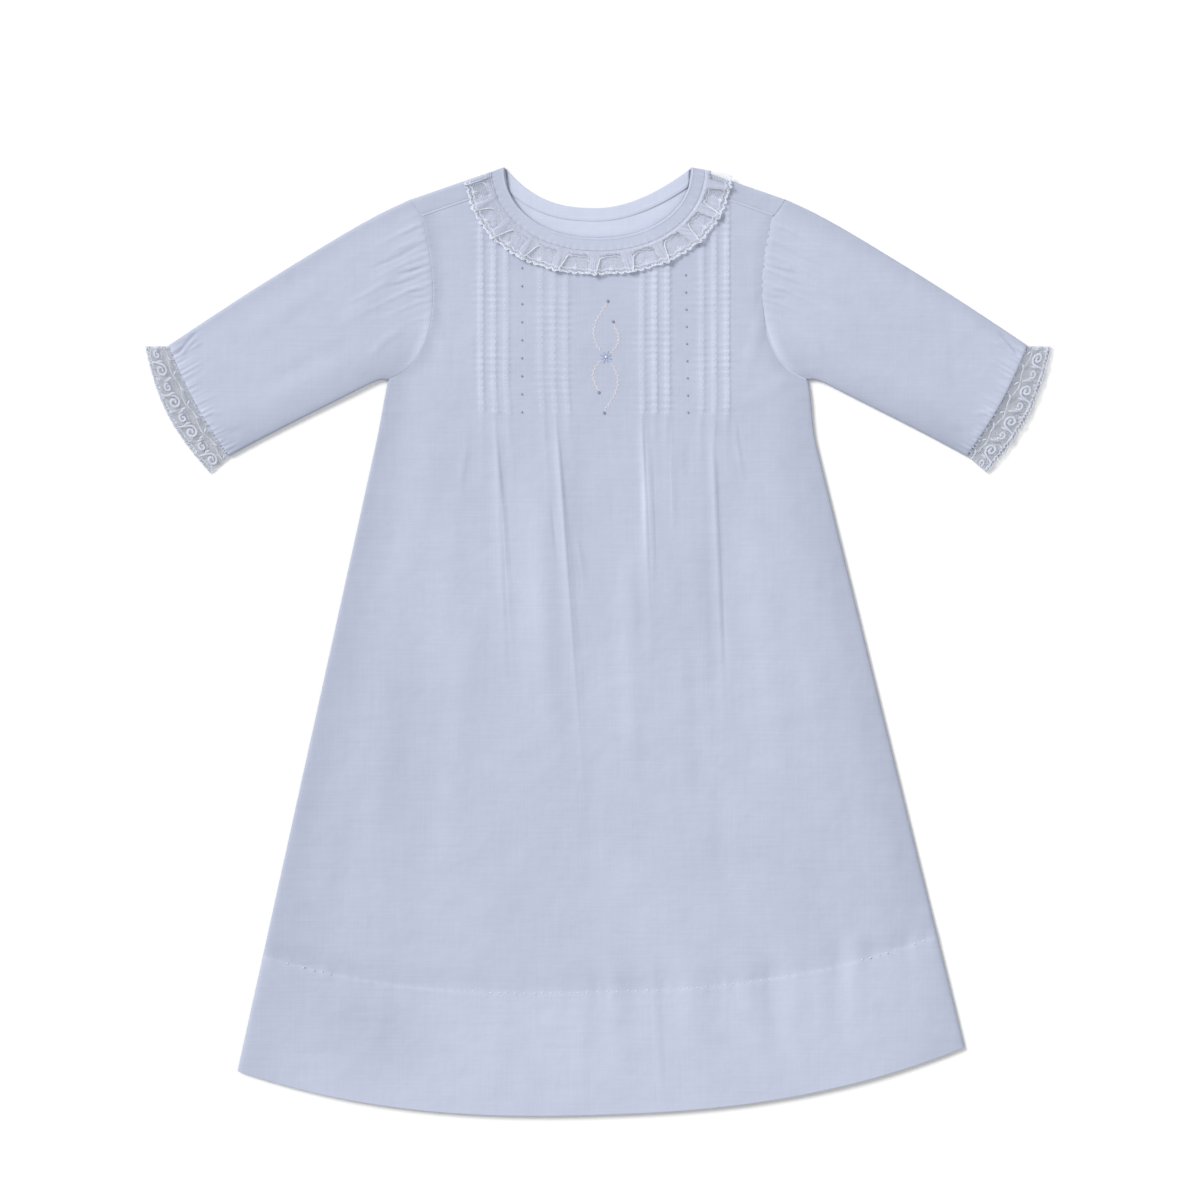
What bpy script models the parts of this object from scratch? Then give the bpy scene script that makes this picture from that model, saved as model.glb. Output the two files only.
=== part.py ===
"""A baby's white daygown, laid flat on a surface with its front up.

The back panel lies on the surface and wraps over both shoulders to the front. The front panel, with
its pintucks, lies on the back. Each sleeve is a flattened tube, gathered into the armhole, and ends
in a gathered lace frill. A flat band and a gathered lace frill edge the front of the neck, and a
facing edges the back of it.

X runs across the gown, Y from the hem to the neck, and Z up from the surface. The origin is the
middle of the gown's outline, on the surface. Left and right are the wearer's, so the left sleeve
lies at +X. Sizes are in millimetres, and turn into metres where a mesh is made.
"""

import math

import bmesh
import bpy

MM = 0.001

# Layers
CLOTH = 1.2
LACE = 1.0
SEAM = 0.3
BACK_TOP = CLOTH
FRONT_UNDER = BACK_TOP + SEAM
FRONT_TOP = FRONT_UNDER + CLOTH
NECK_UNDER = FRONT_TOP + SEAM
EDGE_RADIUS = FRONT_TOP / 2
SLOT_RADIUS = SEAM / 2

# Outline of the body
NECK_POINT_X = 52.4
NECK_POINT_Y = 266.5
BACK_NECK_DEPTH = 22.6
BACK_NECK_POWER = {-1: 2.7, 1: 1.8}
CHEST_HALF = 117.8
UNDERARM_Y = 147.5
SIDE_HOLLOW = {-1: 1.0, 1: 4.2}
SIDE_HOLLOW_START = 0.10
HEM_Y = -265.5
HEM_TILT = 0.030
HEM_SWEEP = 31.0
HEM_SWEEP_HALF = 204.0
HEM_POWER = 2.4
STRAIGHT_GRAIN_HALF = 75.0

# Curves round the neck: half width, depth below the neck points, and roundness
NECKLINE = (NECK_POINT_X, 39.3, 2.12)
FRILL_SEAM = (60.0, 47.0, 2.12)
FRILL_EDGE = (75.0, 60.2, 2.20)
NECK_CORNER_TURN = 0.085
NECK_TURNS = (NECK_CORNER_TURN, 0.13, 0.19)

# Armhole seam, from the shoulder fold to the underarm. The second point ends the shoulder seam.
# (half width, height)
ARMHOLE = (
    (105.0, 248.3),
    (98.9, 239.5),
    (96.2, 229.0),
    (94.2, 218.0),
    (92.9, 206.0),
    (92.4, 195.0),
    (93.2, 183.0),
    (95.6, 172.0),
    (99.6, 162.5),
    (104.6, 155.5),
    (110.6, 150.6),
    (CHEST_HALF, UNDERARM_Y),
)

# Where the straight grain of the front runs to. (place across the chest, place at the hem)
GRAIN = (
    (-CHEST_HALF, -202.6),
    (-70.0, -72.0),
    (-58.7, -40.0),
    (-25.2, 6.0),
    (3.3, 27.0),
    (31.8, 45.0),
    (65.3, 80.0),
    (76.0, 104.0),
    (CHEST_HALF, 206.0),
)

# Pintucks
TUCK_MIDDLE = 3.3
TUCK_GROUPS = (-62.0, -28.5, 28.5, 62.0)
TUCK_PITCH = 7.1
TUCK_HALF = 1.9
TUCK_LEAN = 1.1
TUCK_HEIGHT = 0.8
RELEASE_Y = 127.6
WIDEST_COLUMN = 8.2

# Soft folds that the tucks let out below their stitching. Each is partly full at the tuck, grows to its
# whole height over a short way, and fades to its lower end. Half of its height is air under the cloth.
FOLD_AT_TUCK = 0.25
FOLD_GROWTH = 6.0
FOLD_IN_CLOTH = 0.5
# (place across the chest, lower end, height, half width at the tuck, half width at the lower end)
FOLDS = (
    (-65.8, 70.0, 0.8, 3.0, 6.0),
    (-58.7, -60.0, 1.7, 3.5, 8.0),
    (-51.6, 60.0, 1.0, 3.0, 6.0),
    (-32.3, 40.0, 1.0, 3.0, 6.0),
    (-25.2, -150.0, 2.0, 3.5, 9.0),
    (-18.1, 75.0, 0.8, 3.0, 5.0),
    (24.7, -20.0, 1.8, 3.0, 7.0),
    (31.8, 75.0, 0.8, 3.0, 5.0),
    (38.9, 50.0, 0.9, 3.0, 6.0),
    (58.2, 60.0, 0.9, 3.0, 6.0),
    (65.3, -90.0, 1.8, 3.5, 9.0),
    (72.4, 75.0, 1.0, 3.0, 7.0),
)

# Air under the front where the two layers of the body part a little
BODY_LIFT = 0.8
BODY_LIFT_MARGIN = 26.0
BODY_LIFT_TOP = 225.0
BODY_LIFT_RUN = 110.0

# Hem: cloth turned up inside, which makes a thicker band with small puckers at its stitching
HEM_START = 0.832
HEM_STEP = 0.40
HEM_PUCKER = 0.30

# Rows of the skirt, as shares of the way from the underarm to the hem
TUCK_ROWS = (0.044, 0.050)
FOLD_ROWS = (0.062, 0.085, 0.12, 0.17, 0.24, 0.33, 0.44, 0.56, 0.69, 0.80)
HEM_ROWS = (0.826, HEM_START, 0.92, 1.0)
BACK_SKIRT_ROWS = (0.05, 0.085, 0.12, 0.35, 0.6, 0.8, 1.0)
SIDE_COLUMN = 14.0
BACK_COLUMN = 10.0
FOLD_TURNS = (-60, -30, 0, 30, 60, 90)

# Sleeve. (half width, height) along the shoulder edge, from the armhole to the frill
SLEEVE_TOP = ((105.0, 248.3), (122.3, 240.6), (146.2, 227.1), (190.0, 200.1), (220.9, 179.9), (241.0, 166.4))
SLEEVE_UNDER = ((CHEST_HALF, UNDERARM_Y), (123.8, 147.9), (140.0, 139.4), (180.2, 119.2), (207.2, 104.7))
SLEEVE_END_BULGE = 2.4
SLEEVE_LIFT = 1.4
SLEEVE_LIFT_ROUNDNESS = 0.8
SLEEVE_LIFT_START = 0.3
SLEEVE_LIFT_FADE = 0.6
SLEEVE_RINGS = (0.0, 0.05, 0.12, 0.22, 0.36, 0.52, 0.68, 0.80, 0.89, 0.95, 1.0)
SLEEVE_TOP_POINTS = 32
UNDER_POINTS = 10
EDGE_TURNS = (60, 30, 0, -30, -60)

# Gathers in the sleeve's head and at its end, side by side from the first share of the seam to the last.
# (how far each runs into the sleeve, height)
HEAD_GATHER_SPAN = (0.07, 0.66)
HEAD_GATHERS = (
    (22, 0.5),
    (40, 0.8),
    (18, 0.7),
    (30, 0.9),
    (20, 0.8),
    (52, 1.1),
    (26, 0.8),
    (60, 1.0),
    (24, 0.6),
)
END_GATHER_SPAN = (0.06, 0.96)
END_GATHERS = (
    (38, 1.0),
    (26, 0.9),
    (16, 0.6),
    (12, 0.6),
    (14, 0.6),
    (10, 0.5),
    (14, 0.6),
    (12, 0.5),
    (18, 0.7),
    (12, 0.5),
)

# Lace frill at the sleeve's end
CUFF_TOP_CORNER = (255.0, 165.9)
CUFF_UNDER_CORNER = (218.8, 95.0)
CUFF_BULGE = 6.2
CUFF_DROP = 0.2
CUFF_WAVES = 9
CUFF_WAVE_HEIGHT = 1.3
CUFF_WAVE_AT_SEAM = 0.35
CUFF_LIFT = 0.3
CUFF_RINGS = (0.0, 0.3, 0.65, 1.0)
CUFF_TOP_POINTS = 36

# Lace frill at the neck, the band above it and the facing inside the back of the neck
NECK_WAVES = 11
NECK_WAVE_HEIGHT = 1.7
NECK_WAVE_AT_SEAM = 0.25
NECK_WAVE_POINTS = 6
NECK_SCALLOP = 0.6
FRILL_RISE = 1.1
FRILL_END_DROP = {-1: 8.0, 1: 4.0}
FRILL_END_REACH = 0.2
BAND_POINTS = 44
BAND_END = 0.97
FACING_WIDTH = 7.4
FACING_END = 49.5
FACING_POINTS = 20

COLOURS = {
    "batiste": (0.52, 0.57, 0.70, 1.0),
    "lace": (0.56, 0.60, 0.70, 1.0),
}


def clear_scene():
    """Removes what the file opened with, and returns a new collection for the gown."""
    for thing in list(bpy.data.objects):
        bpy.data.objects.remove(thing)
    gown = bpy.data.collections.new("daygown")
    bpy.context.scene.collection.children.link(gown)
    return gown


def cloth_material(name, roughness):
    """A plain matt cloth."""
    material = bpy.data.materials.new(name)
    material.use_nodes = True
    shader = material.node_tree.nodes["Principled BSDF"]
    shader.inputs["Base Color"].default_value = COLOURS[name]
    shader.inputs["Roughness"].default_value = roughness
    shader.inputs["Metallic"].default_value = 0.0
    return material


def smooth(share):
    """Eases a share from 0 to 1, with no kink at either end."""
    share = min(1.0, max(0.0, share))
    return share * share * (3.0 - 2.0 * share)


def mix(start, end, share):
    """The point or number that lies that share of the way from start to end."""
    if isinstance(start, (int, float)):
        return start + (end - start) * share
    return tuple(a + (b - a) * share for a, b in zip(start, end))


def look_up(table, place):
    """Reads a value between the rows of a table of (place, value)."""
    for (low, low_value), (high, high_value) in zip(table, table[1:]):
        if place <= high:
            return mix(low_value, high_value, (place - low) / (high - low))
    return table[-1][1]


def along(points, share):
    """The point at a share of a line's length."""
    lengths = [math.dist(a, b) for a, b in zip(points, points[1:])]
    left = share * sum(lengths)
    for start, end, length in zip(points, points[1:], lengths):
        if left <= length:
            return mix(start, end, left / length)
        left -= length
    return points[-1]


def rounded(points, rounds=2):
    """Cuts the corners of a line, keeping its ends, so that a short table gives a smooth curve."""
    for _ in range(rounds):
        cut = [points[0]]
        for start, end in zip(points, points[1:]):
            cut += [mix(start, end, 0.25), mix(start, end, 0.75)]
        points = cut + [points[-1]]
    return points


def spread(start, end, widest):
    """Evenly spaced places between two others, no further apart than widest."""
    count = math.ceil(abs(end - start) / widest) - 1
    return [mix(start, end, (k + 1) / (count + 1)) for k in range(count)]


def grid_faces(rows, columns, ring=False):
    """Four-sided faces between neighbouring rows of points. A ring joins its last column to its first."""
    wide = columns if ring else columns - 1
    faces = []
    for r in range(rows - 1):
        for c in range(wide):
            here = r * columns + c
            beside = r * columns + (c + 1) % columns
            faces.append((here, here + columns, beside + columns, beside))
    return faces


def free_edges(faces):
    """The edges that only one face uses, in that face's direction."""
    used = {}
    for face in faces:
        for a, b in zip(face, face[1:] + face[:1]):
            used[(a, b)] = True
    return [(a, b) for a, b in used if (b, a) not in used]


def make_wall(name, faces, inner, outer, material, gown):
    """A closed wall of cloth.

    The same faces join its inner and its outer points, and a rim closes the free edges.
    """
    shape = bmesh.new()
    inside = [shape.verts.new([value * MM for value in point]) for point in inner]
    outside = [shape.verts.new([value * MM for value in point]) for point in outer]
    for face in faces:
        shape.faces.new([outside[k] for k in face])
        shape.faces.new([inside[k] for k in reversed(face)])
    for a, b in free_edges(faces):
        shape.faces.new((outside[b], outside[a], inside[a], inside[b]))
    bmesh.ops.recalc_face_normals(shape, faces=shape.faces)
    return add_mesh(name, shape, material, gown)


def make_sheet(name, rows, thickness, material, gown):
    """An even sheet: its underside is a grid of points, and Solidify thickens it upwards."""
    shape = bmesh.new()
    columns = len(rows[0])
    points = [shape.verts.new([value * MM for value in point]) for row in rows for point in row]
    for face in grid_faces(len(rows), columns):
        shape.faces.new([points[k] for k in face])
    shape.normal_update()
    if sum(face.normal.z for face in shape.faces) < 0:
        bmesh.ops.reverse_faces(shape, faces=shape.faces)
    sheet = add_mesh(name, shape, material, gown)
    solidify = sheet.modifiers.new("thickness", "SOLIDIFY")
    solidify.thickness = thickness * MM
    solidify.offset = 1.0
    return sheet


def add_mesh(name, shape, material, gown):
    """Turns a bmesh into a named object of the gown."""
    mesh = bpy.data.meshes.new(name)
    shape.to_mesh(mesh)
    shape.free()
    mesh.shade_smooth()
    mesh.set_sharp_from_angle(angle=math.radians(40))
    mesh.materials.append(material)
    piece = bpy.data.objects.new(name, mesh)
    gown.objects.link(piece)
    return piece


def neck_curve(curve, x):
    """Height of one of the curves round the neck, at a place across it."""
    half, depth, power = curve
    share = min(1.0, abs(x) / half)
    return NECK_POINT_Y - depth * (1.0 - share**power) ** (1.0 / power)


def neck_point(curve, turn):
    """A point of one of those curves: turn 0 is at the wearer's left, 0.5 at the front, 1 at the right."""
    half, depth, power = curve
    across = math.cos(math.pi * turn)
    down = math.sin(math.pi * turn)
    reach = (abs(across) ** power + abs(down) ** power) ** (-1.0 / power)
    return half * across * reach, NECK_POINT_Y - depth * down * reach


def frill_point(turn, out):
    """A point of the band and the frill: out is 0 at the neckline, 1 at the frill's seam and 2 at its edge.

    Near their ends the points drop to the line of the shoulder.
    """
    curves = (NECKLINE, FRILL_SEAM, FRILL_EDGE)
    number = min(1, int(out))
    x, y = mix(neck_point(curves[number], turn), neck_point(curves[number + 1], turn), out - number)
    side = 1 if x > 0 else -1
    beyond = (abs(x) - NECK_POINT_X) / (FRILL_EDGE[0] - NECK_POINT_X)
    near_end = 1.0 - smooth(math.sin(math.pi * turn) / FRILL_END_REACH)
    return x, y - FRILL_END_DROP[side] * max(0.0, beyond) * near_end


def frill_share(x, y):
    """0 on the seam of the neck frill and inside it, 1 on the frill's edge and beyond."""
    down = max(0.0, NECK_POINT_Y - y)

    def reach(curve):
        half, depth, power = curve
        return ((abs(x) / half) ** power + (down / depth) ** power) ** (1.0 / power)

    inner = reach(FRILL_SEAM)
    outer = reach(FRILL_EDGE)
    return min(1.0, max(0.0, (inner - 1.0) / max(1e-6, inner - outer)))


def back_neck(x):
    """Height of the back's neckline."""
    side = 1 if x > 0 else -1
    return NECK_POINT_Y - BACK_NECK_DEPTH * (1.0 - min(1.0, abs(x) / NECK_POINT_X) ** BACK_NECK_POWER[side])


def shoulder_fold(x):
    """Height of the fold where the back wraps over the shoulder."""
    share = (abs(x) - NECK_POINT_X) / (ARMHOLE[0][0] - NECK_POINT_X)
    return mix(NECK_POINT_Y, ARMHOLE[0][1], share)


def shoulder_seam(x):
    """Height of the seam that joins the wrapped back to the front."""
    start = neck_point(NECKLINE, NECK_CORNER_TURN)
    share = (abs(x) - start[0]) / (ARMHOLE[1][0] - start[0])
    return mix(start[1], ARMHOLE[1][1], share)


def front_top(x):
    """Height of the front's top edge: shoulder seam, neckline, shoulder seam."""
    if abs(x) < neck_point(NECKLINE, NECK_CORNER_TURN)[0]:
        return neck_curve(NECKLINE, x)
    return shoulder_seam(x) - SEAM


def back_top(x):
    """Height of the back's top edge: shoulder fold, neckline, shoulder fold."""
    return shoulder_fold(x) if abs(x) >= NECK_POINT_X else back_neck(x)


def hem_height(x):
    """Height of the hem's edge, which sweeps up to the side seams."""
    return HEM_Y + HEM_TILT * x + HEM_SWEEP * abs(x / HEM_SWEEP_HALF) ** HEM_POWER


def armhole_x(y):
    """Half width of the body at a height in the armhole."""
    return look_up([(-height, half) for half, height in ARMHOLE], -y)


def bodice_point(place, share, top, corner):
    """A point above the underarm. share runs from the top edge, 0, down to the underarm, 1."""
    side = 1 if place > 0 else -1
    beyond = max(0.0, abs(place) - STRAIGHT_GRAIN_HALF) / (CHEST_HALF - STRAIGHT_GRAIN_HALF)
    corner_y = ARMHOLE[corner][1]

    def across(y):
        return side * (min(abs(place), STRAIGHT_GRAIN_HALF) + beyond * (armhole_x(y) - STRAIGHT_GRAIN_HALF))

    boundary_y = mix(corner_y, UNDERARM_Y, share)
    return across(boundary_y), mix(top(across(corner_y)), UNDERARM_Y, share)


def skirt_point(place, share):
    """A point below the underarm. share runs from the underarm, 0, to the hem, 1."""
    low = look_up(GRAIN, place)
    side = 1 if place > 0 else -1
    hollow = SIDE_HOLLOW[side] * smooth(share / SIDE_HOLLOW_START) * (1.0 - share) * place / CHEST_HALF
    return mix(place, low, share) - hollow, mix(UNDERARM_Y, hem_height(low), share)


def tuck_places():
    """Places of the twelve pintucks across the chest."""
    return [TUCK_MIDDLE + group + step * TUCK_PITCH for group in TUCK_GROUPS for step in (-1, 0, 1)]


def fold_relief(place, y):
    """Height that the soft folds give the front below the tucks."""
    height = 0.0
    for crest, end, tall, half, half_end in FOLDS:
        share = (RELEASE_Y - y) / (RELEASE_Y - end)
        if not -0.02 <= share < 1.0:
            continue
        grown = smooth(FOLD_AT_TUCK + share * FOLD_GROWTH) * (1.0 - smooth(share))
        reach = abs(place - crest) / mix(half, half_end, max(0.0, share))
        height += tall * grown * (1.0 - smooth(reach))
    return height


def body_lift(place, y):
    """Height of the air between the front and the back."""
    sides = smooth((CHEST_HALF - abs(place)) / BODY_LIFT_MARGIN)
    return BODY_LIFT * sides * smooth((BODY_LIFT_TOP - y) / BODY_LIFT_RUN)


def front_columns():
    """Places of the front's columns across the chest, each with the share of a tuck's height there."""
    marks = [(-CHEST_HALF, 0.0), (CHEST_HALF, 0.0)]
    for place in tuck_places():
        lean = TUCK_LEAN if place > TUCK_MIDDLE else -TUCK_LEAN
        marks += [(place - TUCK_HALF, 0.0), (place + lean, 1.0), (place + TUCK_HALF, 0.0)]
    for turn in NECK_TURNS:
        half = neck_point(NECKLINE, turn)[0]
        marks += [(-half, 0.0), (half, 0.0)]
    marks.sort()
    columns = marks[:1]
    for before, after in zip(marks, marks[1:]):
        columns += [(place, 0.0) for place in spread(before[0], after[0], WIDEST_COLUMN)]
        columns.append(after)
    return columns


def make_front(material, gown):
    """The front panel: pintucks from the neck to the release, soft folds below them, and the hem."""
    columns = front_columns()
    corner_y = ARMHOLE[1][1]
    bodice_rows = [(corner_y - y) / (corner_y - UNDERARM_Y) for _, y in ARMHOLE[1:]]
    rows = [("bodice", share) for share in bodice_rows]
    rows += [("skirt", share) for share in TUCK_ROWS + FOLD_ROWS + HEM_ROWS]
    inner = []
    outer = []
    for part, share in rows:
        for number, (place, tuck) in enumerate(columns):
            if part == "bodice":
                x, y = bodice_point(place, share, front_top, 1)
            else:
                x, y = skirt_point(place, share)
            fold = fold_relief(place, y)
            under = FRONT_UNDER + body_lift(place, y) + (1.0 - FOLD_IN_CLOTH) * fold
            relief = FOLD_IN_CLOTH * fold
            if part == "bodice" or share == TUCK_ROWS[0]:
                relief += TUCK_HEIGHT * tuck * frill_share(x, y)
            if part == "skirt" and share >= HEM_START:
                relief += HEM_STEP
            if share == HEM_START and 0 < number < len(columns) - 1:
                relief -= HEM_PUCKER * (number % 2)
            inner.append((x, y, under))
            outer.append((x, y, under + CLOTH + relief))
    return make_wall("front", grid_faces(len(rows), len(columns)), inner, outer, material, gown)


def make_back(material, gown):
    """The back panel, flat on the surface, with the two strips that wrap over the shoulders to the front."""
    side_places = [-CHEST_HALF] + spread(-CHEST_HALF, -NECK_POINT_X, SIDE_COLUMN) + [-NECK_POINT_X]
    middle_places = spread(-NECK_POINT_X, NECK_POINT_X, BACK_COLUMN)
    places = side_places + middle_places + [-place for place in reversed(side_places)]
    corner_y = ARMHOLE[0][1]
    bodice_rows = [(corner_y - y) / (corner_y - UNDERARM_Y) for _, y in ARMHOLE]
    plan = [[bodice_point(place, share, back_top, 0) for place in places] for share in reversed(bodice_rows)]
    skirt = [[skirt_point(place, share) for place in places] for share in reversed(BACK_SKIRT_ROWS)]
    plan = skirt + plan
    inner = [(x, y, BACK_TOP) for row in plan for x, y in row]
    outer = [(x, y, 0.0) for row in plan for x, y in row]
    faces = grid_faces(len(plan), len(places))
    last_row = (len(plan) - 1) * len(places)
    shoulders = (range(len(side_places)), range(len(places) - len(side_places), len(places)))
    for shoulder in shoulders:
        before = [last_row + k for k in shoulder]
        for turn in (*FOLD_TURNS, "seam"):
            after = []
            for k in shoulder:
                x, y = plan[-1][k]
                fold, seam = shoulder_ends(x, y)
                inward = ((seam[0] - fold[0]), (seam[1] - fold[1]))
                length = math.hypot(*inward)
                inward = (inward[0] / length, inward[1] / length)
                after.append(len(inner))
                if turn == "seam":
                    inner.append((*seam, FRONT_UNDER))
                    outer.append((*seam, FRONT_TOP))
                    continue
                turned = math.radians(turn)
                for points, radius in ((inner, SLOT_RADIUS), (outer, EDGE_RADIUS)):
                    inset = EDGE_RADIUS - radius * math.cos(turned)
                    height = EDGE_RADIUS + radius * math.sin(turned)
                    points.append((fold[0] + inward[0] * inset, fold[1] + inward[1] * inset, height))
            for a, b, c, d in zip(before, after, after[1:], before[1:]):
                faces.append((a, b, c, d))
            before = after
        for k in shoulder:
            pull_in(inner, outer, last_row + k)
    return make_wall("back", faces, inner, outer, material, gown)


def shoulder_ends(x, y):
    """For a point of the shoulder fold: that point, and the one where its thread meets the shoulder seam."""
    side = 1 if x > 0 else -1
    neck_end = neck_point(NECKLINE, NECK_CORNER_TURN)
    share = (abs(x) - NECK_POINT_X) / (ARMHOLE[0][0] - NECK_POINT_X)
    seam_x, seam_y = mix(neck_end, ARMHOLE[1], share)
    return (x, y), (side * seam_x, seam_y)


def pull_in(inner, outer, number):
    """Moves a point of the lower layer in from the fold's line to where the fold starts to turn."""
    fold, seam = shoulder_ends(*inner[number][:2])
    length = math.dist(fold, seam)
    x = fold[0] + (seam[0] - fold[0]) * EDGE_RADIUS / length
    y = fold[1] + (seam[1] - fold[1]) * EDGE_RADIUS / length
    inner[number] = (x, y, inner[number][2])
    outer[number] = (x, y, outer[number][2])


def make_flat_tube(name, plan, rings, top_points, lift, relief, wall, material, gown):
    """A tube of cloth pressed flat. plan gives a point for a share across it and a share along it.

    Each ring runs along the upper layer, round the far edge, back along the lower layer, which lies on
    the surface, and round the near edge.
    """
    inner = []
    outer = []
    for ring in rings:
        width = math.dist(plan(0.0, ring), plan(1.0, ring))
        inset = EDGE_RADIUS / width
        for k in range(top_points + 1):
            across = mix(inset, 1.0 - inset, k / top_points)
            air = lift(across, ring)
            x, y = plan(across, ring)
            inner.append((x, y, FRONT_UNDER + air))
            outer.append((x, y, FRONT_UNDER + wall + air + relief(across, ring)))
        add_edge(inner, outer, plan(1.0, ring), plan(1.0 - inset, ring), EDGE_TURNS, wall)
        for k in range(UNDER_POINTS + 1):
            across = mix(1.0 - inset, inset, k / UNDER_POINTS)
            x, y = plan(across, ring)
            inner.append((x, y, BACK_TOP))
            outer.append((x, y, 0.0))
        add_edge(inner, outer, plan(0.0, ring), plan(inset, ring), EDGE_TURNS[::-1], wall)
    columns = len(inner) // len(rings)
    faces = grid_faces(len(rings), columns, ring=True)
    return make_wall(name, faces, inner, outer, material, gown)


def add_edge(inner, outer, edge, centre, turns, wall):
    """Points round one pressed edge of a flat tube."""
    outward = (edge[0] - centre[0], edge[1] - centre[1])
    length = math.hypot(*outward)
    outward = (outward[0] / length, outward[1] / length)
    for turn in turns:
        turned = math.radians(turn)
        for points, radius in ((inner, SLOT_RADIUS), (outer, EDGE_RADIUS)):
            reach = radius * math.cos(turned)
            top = FRONT_UNDER + wall if points is outer else FRONT_UNDER
            low = 0.0 if points is outer else BACK_TOP
            height = mix(low, top, (1.0 + math.sin(turned)) / 2)
            points.append((centre[0] + outward[0] * reach, centre[1] + outward[1] * reach, height))


def bulged(start, end, bulge, share):
    """A point of the line from start to end, which bows outwards, away from the body, by bulge."""
    x, y = mix(start, end, share)
    length = math.dist(start, end)
    bow = bulge * math.sin(math.pi * share)
    return x + bow * (start[1] - end[1]) / length, y + bow * (end[0] - start[0]) / length


def patch(near, far, top, under, across, down):
    """A point of the surface that spans four curves."""
    sides = mix(top(down), under(down), across)
    ends = mix(near(across), far(across), down)
    corners = mix(mix(near(0.0), near(1.0), across), mix(far(0.0), far(1.0), across), down)
    return tuple(a + b - c for a, b, c in zip(sides, ends, corners))


def sleeve_plan(side):
    """The sleeve's plan, for a share across from the shoulder edge and a share along from the armhole."""
    armhole = [(half + SEAM, y) for half, y in ARMHOLE]
    top = rounded([armhole[0], *SLEEVE_TOP[1:]])
    under = rounded([armhole[-1], *SLEEVE_UNDER[1:]])

    def plan(across, down):
        x, y = patch(
            lambda share: along(armhole, share),
            lambda share: bulged(top[-1], under[-1], SLEEVE_END_BULGE, share),
            lambda share: along(top, share),
            lambda share: along(under, share),
            across,
            down,
        )
        return side * x, y

    return plan


def cuff_plan(side):
    """The plan of the frill at the sleeve's end, from the sleeve's edge outwards."""
    start_top = (SLEEVE_TOP[-1][0] + SEAM, SLEEVE_TOP[-1][1] - CUFF_DROP)
    start_under = (SLEEVE_UNDER[-1][0] + SEAM, SLEEVE_UNDER[-1][1] - CUFF_DROP)

    def plan(across, down):
        near = bulged(start_top, start_under, SLEEVE_END_BULGE, across)
        far = bulged(CUFF_TOP_CORNER, CUFF_UNDER_CORNER, CUFF_BULGE, across)
        x, y = mix(near, far, down)
        return side * x, y

    return plan


def wave_height(waves, share):
    """A row of even waves from 0 to 1 and back, at a share of the row's length."""
    return 0.5 - 0.5 * math.cos(2.0 * math.pi * waves * share)


def gather_relief(gathers, span, across, distance):
    """Height of a row of gathers, at a share across the cloth and a distance from their seam."""
    share = (across - span[0]) / (span[1] - span[0]) * len(gathers)
    if not 0.0 <= share < len(gathers):
        return 0.0
    length, tall = gathers[int(share)]
    return tall * math.sin(math.pi * (share % 1.0)) ** 2 * (1.0 - smooth(distance / length))


def make_sleeve(name, side, material, gown):
    """A sleeve, gathered at its head and again at its end."""
    plan = sleeve_plan(side)
    length = math.dist(plan(0.5, 0.0), plan(0.5, 1.0))

    def lift(across, down):
        height = SLEEVE_LIFT * math.sin(math.pi * across) ** SLEEVE_LIFT_ROUNDNESS
        return height * smooth(down / SLEEVE_LIFT_START) * (1.0 - SLEEVE_LIFT_FADE * smooth(down))

    def relief(across, down):
        head = gather_relief(HEAD_GATHERS, HEAD_GATHER_SPAN, across, down * length)
        return head + gather_relief(END_GATHERS, END_GATHER_SPAN, across, (1.0 - down) * length)

    return make_flat_tube(name, plan, SLEEVE_RINGS, SLEEVE_TOP_POINTS, lift, relief, CLOTH, material, gown)


def make_cuff(name, side, material, gown):
    """The gathered lace frill at a sleeve's end, with waves that grow towards its edge."""

    def lift(across, down):
        wave = wave_height(CUFF_WAVES, across) * mix(CUFF_WAVE_AT_SEAM, 1.0, down)
        return CUFF_LIFT + CUFF_WAVE_HEIGHT * wave * smooth(math.sin(math.pi * across) * 2.0)

    def relief(across, down):
        return 0.0

    plan = cuff_plan(side)
    return make_flat_tube(name, plan, CUFF_RINGS, CUFF_TOP_POINTS, lift, relief, LACE, material, gown)


def make_neck_frill(material, gown):
    """The gathered lace frill round the front of the neck, from shoulder to shoulder."""
    stations = NECK_WAVES * NECK_WAVE_POINTS
    rows = []
    for out in (0.02, 0.35, 0.68, 1.0):
        row = []
        for station in range(stations + 1):
            turn = station / stations
            wave = wave_height(NECK_WAVES, turn)
            x, y = frill_point(turn, 1.0 + out)
            bloom = NECK_SCALLOP * wave * out
            height = FRILL_RISE * smooth(out) + NECK_WAVE_HEIGHT * wave * mix(NECK_WAVE_AT_SEAM, 1.0, out)
            row.append((x * (1.0 + bloom / FRILL_EDGE[0]), y - bloom, NECK_UNDER + height))
        rows.append(row)
    return make_sheet("neck_frill", rows, LACE, material, gown)


def make_neck_band(material, gown):
    """The flat band between the front's neckline and the frill."""
    turns = [station / BAND_POINTS for station in range(BAND_POINTS + 1)]
    rows = []
    for out in (0.0, 0.5, BAND_END):
        rows.append([(*frill_point(turn, out), NECK_UNDER) for turn in turns])
    return make_sheet("neck_band", rows, LACE, material, gown)


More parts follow.
